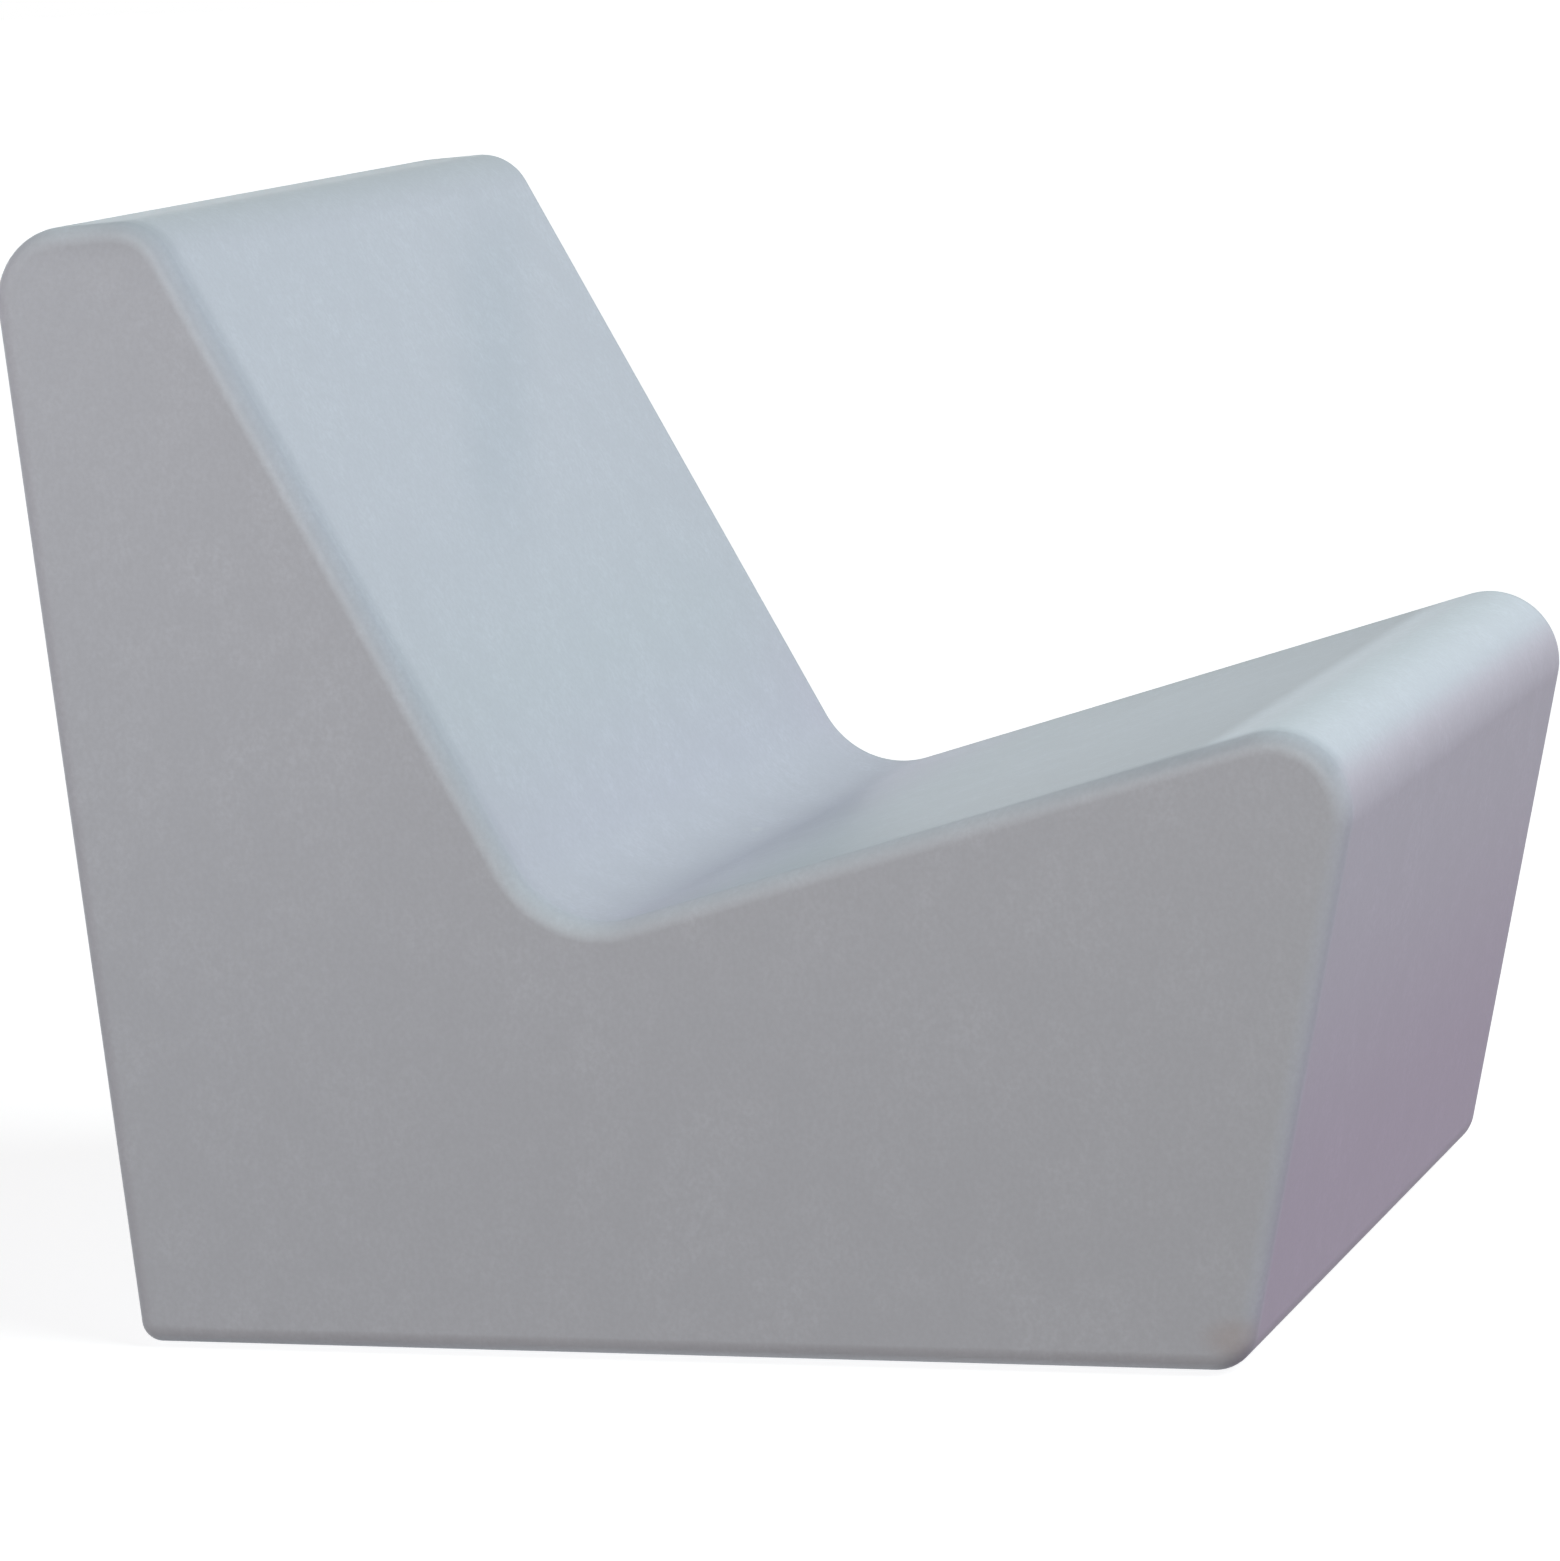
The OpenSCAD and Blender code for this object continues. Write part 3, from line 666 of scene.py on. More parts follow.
class MeshSheet:
    """Collects a closed skin from swept walls, turned walls and flat panels with holes"""

    def __init__(self):
        self.mesh = bmesh.new()

    def loop(self, points):
        return [self.mesh.verts.new(point) for point in points]

    def wall(self, first, second):
        """Quads between two loops of as many vertices"""
        for k in range(len(first)):
            j = (k + 1) % len(first)
            self.mesh.faces.new((first[k], first[j], second[j], second[k]))

    def ring(self, centre, radius, z, segments):
        """A level circle round (x, y)"""
        return self.loop(
            (
                centre[0] + radius * math.cos(math.tau * k / segments),
                centre[1] + radius * math.sin(math.tau * k / segments),
                z,
            )
            for k in range(segments)
        )

    def turned(self, centre, profile, segments, start=None):
        """Rings through a profile of (radius, z), joined; returns the first and the last"""
        rings = [start] if start else []
        rings += [self.ring(centre, radius, z, segments) for radius, z in profile]
        for lower, upper in zip(rings, rings[1:]):
            self.wall(lower, upper)
        return rings[0], rings[-1]

    def cap(self, ring):
        self.mesh.faces.new(ring)

    def spun(self, centre, profile, segments):
        """A solid turned round a line through centre, closed by a flat face at either end"""
        first, last = self.turned(
            centre, [(radius * MM, z * MM) for radius, z in profile], segments
        )
        self.cap(first)
        self.cap(last)

    def block(self, low, high, soft):
        """A box between two corners in metres, with its edges rounded"""
        low, high = Vector(low), Vector(high)
        size = high - low
        place = Matrix.Translation((low + high) / 2) @ Matrix.Diagonal((*size, 1.0))
        made = bmesh.ops.create_cube(self.mesh, size=1.0, matrix=place)
        edges = {edge for vert in made["verts"] for edge in vert.link_edges}
        bmesh.ops.bevel(
            self.mesh, geom=list(edges), offset=soft, segments=3, profile=0.5, affect="EDGES"
        )

    def bar(self, middle, radius, half, segments=24):
        """A round bar along X or Y: half is its half length as (x, y)"""
        middle, half = Vector(middle), Vector((*half, 0))
        side = Vector((half.y, half.x, 0)).normalized()
        ends = [
            self.loop(
                middle + end * half
                + (side * math.cos(math.tau * k / segments)
                   + Vector((0, 0, 1)) * math.sin(math.tau * k / segments)) * radius
                for k in range(segments)
            )
            for end in (-1, 1)
        ]
        self.wall(*ends)
        for end in ends:
            self.cap(end)

    def lathed(self, start, way, profile, segments=48):
        """Rings of (radius, distance along X) in millimetres from start, joined in turn"""
        rings = [
            self.loop(
                start + Vector(
                    (
                        way * along, radius * math.cos(math.tau * k / segments),
                        radius * math.sin(math.tau * k / segments),
                    )
                ) * MM
                for k in range(segments)
            )
            for radius, along in profile
        ]
        for first, second in zip(rings, rings[1:]):
            self.wall(first, second)
        return rings

    def panel(self, outer, holes=()):
        """A flat face inside a loop and outside its holes"""
        edges = []
        for loop in (outer, *holes):
            for k, vert in enumerate(loop):
                other = loop[(k + 1) % len(loop)]
                edge = self.mesh.edges.get((vert, other)) or self.mesh.edges.new((vert, other))
                edges.append(edge)
        bmesh.ops.triangle_fill(self.mesh, use_beauty=True, use_dissolve=False, edges=edges)

    def object(self, name, material, sharp_degrees=28):
        """The skin as an object: doubles merged, faces outwards, and an error if it is open"""
        bmesh.ops.remove_doubles(self.mesh, verts=self.mesh.verts, dist=1e-7)
        bmesh.ops.recalc_face_normals(self.mesh, faces=self.mesh.faces)
        open_edges = [e for e in self.mesh.edges if len(e.link_faces) != 2]
        if open_edges:
            raise RuntimeError(f"{name} has {len(open_edges)} open edges")
        data = bpy.data.meshes.new(name)
        self.mesh.to_mesh(data)
        self.mesh.free()
        return shown(name, data, material, sharp_degrees)


def shown(name, data, material, sharp_degrees):
    """An object with smooth faces, sharp edges kept and flat faces shaded flat"""
    data.shade_smooth()
    data.set_sharp_from_angle(angle=math.radians(sharp_degrees))
    data.materials.append(material)
    piece = bpy.data.objects.new(name, data)
    bpy.context.scene.collection.objects.link(piece)
    weighted = piece.modifiers.new("even_shading", "WEIGHTED_NORMAL")
    weighted.keep_sharp = True
    weighted.weight = 100
    return settled(piece)


def settled(piece):
    """The same object with its modifiers made part of its mesh"""
    depsgraph = bpy.context.evaluated_depsgraph_get()
    data = bpy.data.meshes.new_from_object(
        piece.evaluated_get(depsgraph), preserve_all_data_layers=True, depsgraph=depsgraph
    )
    piece.modifiers.clear()
    old = piece.data
    piece.data = data
    bpy.data.meshes.remove(old)
    data.name = piece.name
    return piece


# Repeated small parts


def placing_tree(name, pattern):
    """Geometry nodes that stand a small part on every point of a ring or at a grid's corners"""
    tree = bpy.data.node_groups.new(name, "GeometryNodeTree")
    kinds = {"Part": "Geometry", "Centre": "Vector", "Finish": "Material"}
    if pattern == "ring":
        kinds |= {"Count": "Int", "Radius": "Float", "Start": "Float"}
    else:
        kinds |= {"Spread X": "Float", "Spread Y": "Float"}
    for field, kind in kinds.items():
        tree.interface.new_socket(field, in_out="INPUT", socket_type="NodeSocket" + kind)
    tree.interface.new_socket("Part", in_out="OUTPUT", socket_type="NodeSocketGeometry")
    wiring = Wiring(tree)
    given = {field: wiring.node("NodeGroupInput", {}, {}, field) for field in kinds}
    if pattern == "ring":
        points = wiring.node(
            "GeometryNodeMeshCircle", {}, {"Vertices": given["Count"], "Radius": given["Radius"]}
        )
        # The ring starts at its own angle, and every part faces away from its middle
        start = {"Rotation": wiring.node("ShaderNodeCombineXYZ", {}, {"Z": given["Start"]})}
        spot = wiring.node("GeometryNodeInputPosition", {}, {})
        away = {"Vector": wiring.vector("SUBTRACT", spot, given["Centre"])}
        facing = wiring.node("FunctionNodeAlignEulerToVector", {"axis": "X"}, away, "Rotation")
        stance = {"Rotation": facing}
    else:
        points = wiring.node(
            "GeometryNodeMeshGrid", {},
            {
                "Vertices X": 2, "Vertices Y": 2,
                "Size X": given["Spread X"], "Size Y": given["Spread Y"],
            },
        )
        start, stance = {}, {}
    for kind, inputs in (
        ("GeometryNodeTransform", {"Translation": given["Centre"], **start}),
        ("GeometryNodeInstanceOnPoints", {"Instance": given["Part"], **stance}),
        ("GeometryNodeRealizeInstances", {}),
        ("GeometryNodeSetMaterial", {"Material": given["Finish"]}),
        ("NodeGroupOutput", {}),
    ):
        points = wiring.node(kind, {}, {0: points, **inputs})
    return tree


def placed(piece, pattern, material, **values):
    """The piece's mesh repeated by its placing tree, as one plain mesh"""
    tree = placing_tree("place_" + piece.name, pattern)
    modifier = piece.modifiers.new("places", "NODES")
    modifier.node_group = tree
    values = {name.replace("_", " "): value for name, value in values.items()}
    values["Finish"] = material
    for socket in tree.interface.items_tree:
        if socket.in_out == "INPUT" and socket.name in values:
            modifier[socket.identifier] = values[socket.name]
    piece.data.update()
    return settled(piece)


def turned_part(name, profile, segments, material):
    """A closed part turned round Z from a closed profile of (radius, z) in millimetres"""
    sheet = MeshSheet()
    rings = [sheet.ring((0, 0), radius * MM, z * MM, segments) for radius, z in profile]
    for k, ring in enumerate(rings):
        sheet.wall(ring, rings[(k + 1) % len(rings)])
    return sheet.object(name, material)


def round_edge(radius, face, edge, steps=5):
    """A quarter arc of (radius, z) from a face at z = face round to a wall at the radius"""
    for k in range(steps + 1):
        turn = math.radians(90 * k / steps)
        yield radius - edge + edge * math.sin(turn), face + edge * (1 - math.cos(turn))


def screw_part(name, material, grip, thread, pitch, head, head_height, socket):
    """A button-head screw with a hexagon socket, its head under z = 0 and its shank above

    Sizes are in millimetres: thread and head are radii, and socket is from its middle to a corner.
    """
    sheet = MeshSheet()
    around, sector, socket_floor = 48, math.radians(60), 0.42
    mouth, floor = (
        sheet.loop(
            (reach * math.cos(a) * MM, reach * math.sin(a) * MM, z * MM)
            for a, reach in hexagon(socket, around, sector)
        )
        for z in (-head_height, -head_height * socket_floor)
    )
    sheet.cap(floor)
    sheet.wall(floor, mouth)
    flat, crown, crown_steps = socket + 0.5, 0.75, 6
    soft, fillet, thread_start, tip = 0.2, 0.15, 1.0, 0.6
    profile = [(flat, -head_height)]
    for k in range(1, crown_steps + 1):
        turn = math.radians(90 * k / crown_steps)
        profile.append(
            (
                flat + (head - flat) * math.sin(turn),
                head_height * (crown * (1 - math.cos(turn)) - 1),
            )
        )
    profile += [(head, -soft), (head - soft, 0), (thread + fillet, 0), (thread, 2 * soft)]
    z = thread_start
    while z + pitch < grip - tip:
        profile += [(thread, z), (thread - pitch * 0.5, z + pitch * 0.5)]
        z += pitch
    profile += [(thread, grip - tip), (thread - 0.5, grip)]
    profile = [(radius * MM, height * MM) for radius, height in profile]
    _, last = sheet.turned((0, 0), profile, around, start=mouth)
    sheet.cap(last)
    return sheet.object(name, material, 40)


def hexagon(corner, count, sector):
    """Angles all round, each with its reach to the side of a hexagon"""
    flat = corner * math.cos(sector / 2)
    for k in range(count):
        a = math.tau * k / count
        yield a, flat / math.cos((a + sector / 2) % sector - sector / 2)


# Operators


def settings():
    return bpy.context.scene.lounge_chair


# Broad lights at infinity: the way to each from the chair, its width in degrees and its tint
SUNS = {
    "key": ((-0.07, -0.73, 0.68), 40, (0.9, 1.0, 0.965)),
    "side": ((-0.93, 0.3, 0.1), 50, (1.0, 0.86, 0.8)),
    "front": ((0.1, -1.0, 0.05), 30, (1.0, 0.4, 0.9)),
    "fill": ((0.75, 0.65, -0.12), 50, (0.98, 0.98, 1.0)),
}
# Square soft panels: the place of each, what it is aimed at, its size and its tint
PANELS = {
    "panel": ((-2.6, 1.8, 1.2), (0, 0, 0.45), 1.4, (0.8, 0.86, 1.0)),
    "under": ((0, 0.1, -0.8), (0, 0.05, 0), 0.5, (0.96, 0.98, 1.0)),
}
FLOOR_REACH, FLOOR_DROP, FLOOR_MATT, FLOOR_GLOW = 30.0, 0.3 * MM, (0.34, 0.34, 0.35), 0.84
WHITE, BOUNCE, HORIZON = (1, 1, 1, 1), (1.0, 0.86, 1.0, 1), 0.05


class CHAIR_OT_studio(bpy.types.Operator):
    """Sets the camera, the floor, the lights and the white room"""

    bl_idname = "lounge_chair.studio"
    bl_label = "Build Studio"

    def execute(self, context):
        studio = settings().studio
        scene = context.scene
        scene.view_settings.view_transform = "Standard"
        self.add_camera(scene, studio)
        self.add_floor(scene)
        self.add_room(scene, studio)
        for name, (towards, spread, tint) in SUNS.items():
            sun = self.add_light(scene, name, "SUN", getattr(studio, name), towards, tint)
            sun.data.angle = math.radians(spread)
        for name, (place, aim, size, tint) in PANELS.items():
            towards = Vector(place) - Vector(aim)
            panel = self.add_light(scene, name, "AREA", getattr(studio, name), towards, tint)
            panel.data.shape = "SQUARE"
            panel.data.size = size
            panel.location = place
            panel.visible_camera = False
        return {"FINISHED"}

    def add_camera(self, scene, studio):
        data = bpy.data.cameras.new("photo_camera")
        data.sensor_fit = "AUTO"
        data.sensor_width = SENSOR
        data.lens = studio.focal_pixels * SENSOR / max(PHOTO_WIDTH, PHOTO_HEIGHT)
        data.clip_end = 100
        camera = bpy.data.objects.new("photo_camera", data)
        camera.location = studio.camera_place
        camera.rotation_euler = Euler(studio.camera_turn)
        scene.collection.objects.link(camera)
        scene.camera = camera

    def add_light(self, scene, name, kind, power, towards, tint):
        """A light that shines along a line: towards points back along it, to the light"""
        data = bpy.data.lights.new(name + "_light", kind)
        data.energy = power
        data.color = tint
        light = bpy.data.objects.new(data.name, data)
        light.rotation_euler = Vector(towards).to_track_quat("Z", "Y").to_euler()
        scene.collection.objects.link(light)
        return light

    def add_floor(self, scene):
        """A white floor that shows the shadow from above and can be looked through from below"""
        data = bpy.data.meshes.new("floor")
        corners = [(x * FLOOR_REACH, y * FLOOR_REACH, -FLOOR_DROP) for x, y in SQUARE]
        data.from_pydata(corners, [], [(0, 1, 2, 3)])
        material = bpy.data.materials.new("pale_floor")
        wiring = Wiring.bare(material)
        matt = wiring.node("ShaderNodeBsdfDiffuse", {}, {"Color": (*FLOOR_MATT, 1)})
        glow = wiring.node("ShaderNodeEmission", {}, {"Strength": FLOOR_GLOW})
        lit = wiring.node("ShaderNodeAddShader", {}, {0: matt, 1: glow})
        clear = wiring.node("ShaderNodeBsdfTransparent", {}, {})
        from_below = wiring.node("ShaderNodeNewGeometry", {}, {}, "Backfacing")
        seen = wiring.seen_directly() * (1 - from_below)
        surface = wiring.node("ShaderNodeMixShader", {}, {0: seen, 1: clear, 2: lit})
        wiring.node("ShaderNodeOutputMaterial", {}, {"Surface": surface})
        data.materials.append(material)
        floor = bpy.data.objects.new("floor", data)
        scene.collection.objects.link(floor)

    def add_room(self, scene, studio):
        """White to the camera, and soft light from above and from below for everything else"""
        world = bpy.data.worlds.new("white_room")
        wiring = Wiring.bare(world)
        white, above, below = (
            wiring.node("ShaderNodeBackground", {}, {"Color": tint, "Strength": strength})
            for tint, strength in ((WHITE, 1.0), (WHITE, studio.room), (BOUNCE, studio.bounce))
        )
        place = wiring.node("ShaderNodeTexCoord", {}, {}, "Generated")
        height = wiring.node("ShaderNodeSeparateXYZ", {}, {0: place}, "Z")
        upper = wiring.node(
            "ShaderNodeMapRange", {}, {"Value": height, "From Min": -HORIZON, "From Max": HORIZON}
        )
        soft = wiring.node("ShaderNodeMixShader", {}, {0: upper, 1: below, 2: above})
        seen = wiring.seen_directly()
        surface = wiring.node("ShaderNodeMixShader", {}, {0: seen, 1: soft, 2: white})
        wiring.node("ShaderNodeOutputWorld", {}, {"Surface": surface})
        scene.world = world


# Screws in each ring of the light module, and the angle at which its outer ring starts
RING_SCREWS, RING_START = 6, math.radians(30)


class CHAIR_OT_body(bpy.types.Operator):
    """Builds the hollow moulded body with its round edges and the pocket in its base"""

    bl_idname = "lounge_chair.body"
    bl_label = "Build Moulded Body"

    # How finely round and straight stretches are divided
    arc_step, run_step = math.radians(3), 40 * MM
    edge_steps, width_steps, rim_steps = 9, 8, 8
    pocket_segments, seat_segments, bore_segments = 128, 64, 40
    # Bevels at the mouth of a glide's seat, at the light opening and on top of a boss
    seat_bevel, opening_bevel, boss_bevel = 0.5 * MM, 0.8 * MM, 1 * MM

    def execute(self, context):
        chair = settings()
        self.sizes, self.base = chair.body, chair.base
        self.skin = MeshSheet()
        outer = SideView.of_body(self.sizes)
        self.centre = (0.0, outer.base_middle)
        hollow = outer.inset(self.sizes.wall, self.sizes.hollow_radius)
        self.add_hull(outer, self.sizes.width, self.sizes.edge_radius, self.under_holes())
        self.add_hull(
            hollow, self.sizes.width - 2 * self.sizes.wall, self.sizes.hollow_radius,
            self.upper_holes(),
        )
        self.join_openings()
        finish = body_finish(
            "moulded_body", chair.finishes.body, chair.finishes.glow, outer, self.sizes.width / 2
        )
        body = self.skin.object("moulded_body", finish)
        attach(body, "chair")
        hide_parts("shell")
        return {"FINISHED"}

    def add_hull(self, view, width, radius, holes):
        """A rounded outline of the side view, width wide, with holes in its base"""
        flat = width / 2 - radius
        columns = []
        for k in range(self.edge_steps + 1):
            turn = math.radians(90 * k / self.edge_steps)
            columns.append((-flat - radius * math.cos(turn), radius * (1 - math.sin(turn))))
        columns += [
            (-flat + 2 * flat * k / self.width_steps, 0.0) for k in range(1, self.width_steps)
        ]
        columns += [(-x, depth) for x, depth in reversed(columns[: self.edge_steps + 1])]
        rows, runs = [], []
        for point, out, run in view.stations(self.arc_step, self.run_step):
            rows.append(self.skin.loop((x, *(point - out * depth)) for x, depth in columns))
            runs.append(run)
        last = self.edge_steps + self.width_steps
        for k, row in enumerate(rows):
            other = (k + 1) % len(rows)
            under = runs[k] == 0 and runs[other] == 0
            for c in range(len(columns) - 1):
                if under and self.edge_steps <= c < last:
                    continue
                self.skin.mesh.faces.new((row[c], row[c + 1], rows[other][c + 1], rows[other][c]))
        for side in (0, -1):
            self.skin.panel([row[side] for row in rows])
        base = [k for k, run in enumerate(runs) if run == 0]
        left = [rows[k][self.edge_steps] for k in base]
        right = [rows[k][last] for k in base]
        front = rows[base[0]][self.edge_steps + 1: last]
        rear = rows[base[-1]][self.edge_steps + 1: last]
        self.skin.panel(left + rear + right[::-1] + front[::-1], holes)

    def glide_spots(self):
        x = self.sizes.width / 2 - self.base.glide_inset
        y = self.sizes.base_length / 2 - self.base.glide_inset
        return [(side * x, self.centre[1] + end * y) for end in (-1, 1) for side in (-1, 1)]

    def screw_spots(self):
        turns = [RING_START + math.tau * k / RING_SCREWS for k in range(RING_SCREWS)]
        return [
            (
                self.centre[0] + self.base.screw_ring * math.cos(turn),
                self.centre[1] + self.base.screw_ring * math.sin(turn),
            )
            for turn in turns
        ]

    def under_holes(self):
        """Loops in the underside: the pocket's rim and the glide seats"""
        base, z = self.base, self.sizes.base_height
        draft = math.tan(base.pocket_draft)
        reach = base.pocket_radius + (base.pocket_depth - base.rim_radius) * draft
        rim_middle = reach + base.rim_radius / math.cos(base.pocket_draft)
        sweep = math.radians(90) - base.pocket_draft
        turns = [
            math.radians(270) - sweep * k / self.rim_steps for k in range(self.rim_steps + 1)
        ]
        rim = [
            (
                rim_middle + base.rim_radius * math.cos(turn),
                z + base.rim_radius + base.rim_radius * math.sin(turn),
            )
            for turn in turns
        ]
        self.ledge_z = z + base.pocket_depth
        first, self.pocket_top = self.skin.turned(
            self.centre, rim + [(base.pocket_radius, self.ledge_z)], self.pocket_segments
        )
        holes, self.seats = [first], []
        seat, soft = base.glide_radius + base.fit, self.seat_bevel
        for spot in self.glide_spots():
            low, high = self.skin.turned(
                spot, [(seat + soft, z), (seat, z + soft), (seat, z + base.glide_seat)],
                self.seat_segments,
            )
            holes.append(low)
            self.seats.append(high)
        return holes

    def upper_holes(self):
        """Loops in the hollow's floor: the pocket's outer wall and the glide pads"""
        base, wall = self.base, self.sizes.wall
        z = self.sizes.base_height + wall
        draft = math.tan(base.pocket_draft)
        top = base.pocket_radius + wall / math.cos(base.pocket_draft)
        foot = top + (base.pocket_depth - wall) * draft
        profile = [(foot, z), (top - wall * draft, self.ledge_z + wall)]
        low, self.form_top = self.skin.turned(self.centre, profile, self.pocket_segments)
        holes, self.pads = [low], []
        pad = base.glide_radius + base.fit + wall
        for spot in self.glide_spots():
            low, high = self.skin.turned(
                spot, [(pad, z), (pad, z + base.glide_seat)], self.seat_segments
            )
            holes.append(low)
            self.pads.append(high)
        return holes

    def add_bores(self, spots, low, high):
        """Blind bores for inserts from low, and the bosses round them above high"""
        base = self.base
        top, soft = low + base.insert_length + self.sizes.wall, self.boss_bevel
        bore = [(base.insert_radius, low), (base.insert_radius, low + base.insert_length)]
        boss = [
            (base.boss_radius, high), (base.boss_radius, top - soft), (base.boss_radius - soft, top),
        ]
        bores, bosses = [], []
        for spot in spots:
            for profile, mouths in ((bore, bores), (boss, bosses)):
                first, last = self.skin.turned(spot, profile, self.bore_segments)
                self.skin.cap(last)
                mouths.append(first)
        return bores, bosses

    def join_openings(self):
        """Closes the ledge, the light opening and the glide seats"""
        base, wall = self.base, self.sizes.wall
        bores, bosses = self.add_bores(self.screw_spots(), self.ledge_z, self.ledge_z + wall)
        soft = self.opening_bevel
        low, high = self.skin.turned(
            self.centre,
            [
                (base.opening_radius + soft, self.ledge_z),
                (base.opening_radius, self.ledge_z + soft),
                (base.opening_radius, self.ledge_z + wall - soft),
                (base.opening_radius + soft, self.ledge_z + wall),
            ],
            self.pocket_segments,
        )
        self.skin.panel(self.pocket_top, [low, *bores])
        self.skin.panel(self.form_top, [high, *bosses])
        seat_z = self.sizes.base_height + base.glide_seat
        for spot, seat, pad in zip(self.glide_spots(), self.seats, self.pads):
            bores, bosses = self.add_bores([spot], seat_z, seat_z + wall)
            self.skin.panel(seat, bores)
            self.skin.panel(pad, bosses)


class CHAIR_OT_glides(bpy.types.Operator):
    """Builds the four ridged rubber glides"""

    bl_idname = "lounge_chair.glides"
    bl_label = "Build Glides"

    def execute(self, context):
        chair = settings()
        body = chair.body
        rubber = rubber_finish("glide_rubber", chair.finishes.rubber)
        pads = turned_part("glide_pads", self.section(), 64, rubber)
        pads = placed(
            pads, "grid", rubber,
            Spread_X=body.width - 2 * chair.base.glide_inset,
            Spread_Y=body.base_length - 2 * chair.base.glide_inset,
            Centre=(0.0, SideView.of_body(body).base_middle, 0.0),
        )
        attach(pads, "chair")
        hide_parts("glides")
        return {"FINISHED"}

    def section(self):
        """A glide's section in millimetres: a recess for the screw, then ridges to a round edge"""
        bore, recess, groove = 2.8, 5.05, 0.3
        rim, tall = settings().base.glide_radius / MM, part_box("glides")[1].z / MM
        points = [(bore, 3.0), (recess, 3.0), (recess, 0.9), (recess + 0.55, groove)]
        radius, ridge = 7.4, 2.1
        while radius + ridge < rim - 1.4:
            points += [
                (radius, groove), (radius + 0.35, 0.0), (radius + ridge - 0.85, 0.0),
                (radius + ridge - 0.5, groove),
            ]
            radius += ridge
        return points + [
            (rim - 1.3, groove), (rim - 0.8, 0.45), (rim - 0.25, 1.0), (rim, 1.8), (rim, tall),
            (bore, tall),
        ]


# Screw sizes in millimetres
LARGE_SCREW = {"thread": 2.4, "pitch": 0.8, "head": 4.75, "head_height": 2.8, "socket": 1.7}
SMALL_SCREW = {"thread": 1.4, "pitch": 0.5, "head": 2.75, "head_height": 2.0, "socket": 1.05}


class CHAIR_OT_screws(bpy.types.Operator):
    """Builds the button-head screws that show from below"""

    bl_idname = "lounge_chair.screws"
    bl_label = "Build Screws"

    def execute(self, context):
        chair = settings()
        body, base = chair.body, chair.base
        steel = metal_finish("screw_steel", chair.finishes.steel, 0.3)
        centre_y = SideView.of_body(body).base_middle
        corners = {
            "Spread_X": body.width - 2 * base.glide_inset,
            "Spread_Y": body.base_length - 2 * base.glide_inset,
        }
        ledge_ring = {"Count": RING_SCREWS, "Radius": base.screw_ring, "Start": RING_START}
        low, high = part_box("dome_screws")
        dome_radius = (high.x - low.x) / 2 - SMALL_SCREW["head"] * MM
        dome_ring = {"Count": RING_SCREWS, "Radius": dome_radius, "Start": 0.0}
        for name, node, size, pattern, spots in (
            ("glide_bolts", "glide_screws", LARGE_SCREW, "grid", corners),
            ("module_bolts", "module_screws", LARGE_SCREW, "ring", ledge_ring),
            ("dome_bolts", "dome_screws", SMALL_SCREW, "ring", dome_ring),
        ):
            low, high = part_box(node)
            under_head = low.z + size["head_height"] * MM
            piece = screw_part(name, steel, (high.z - under_head) / MM, **size)
            piece = placed(piece, pattern, steel, Centre=(0.0, centre_y, under_head), **spots)
            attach(piece, "chair")
            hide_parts(node)
        return {"FINISHED"}


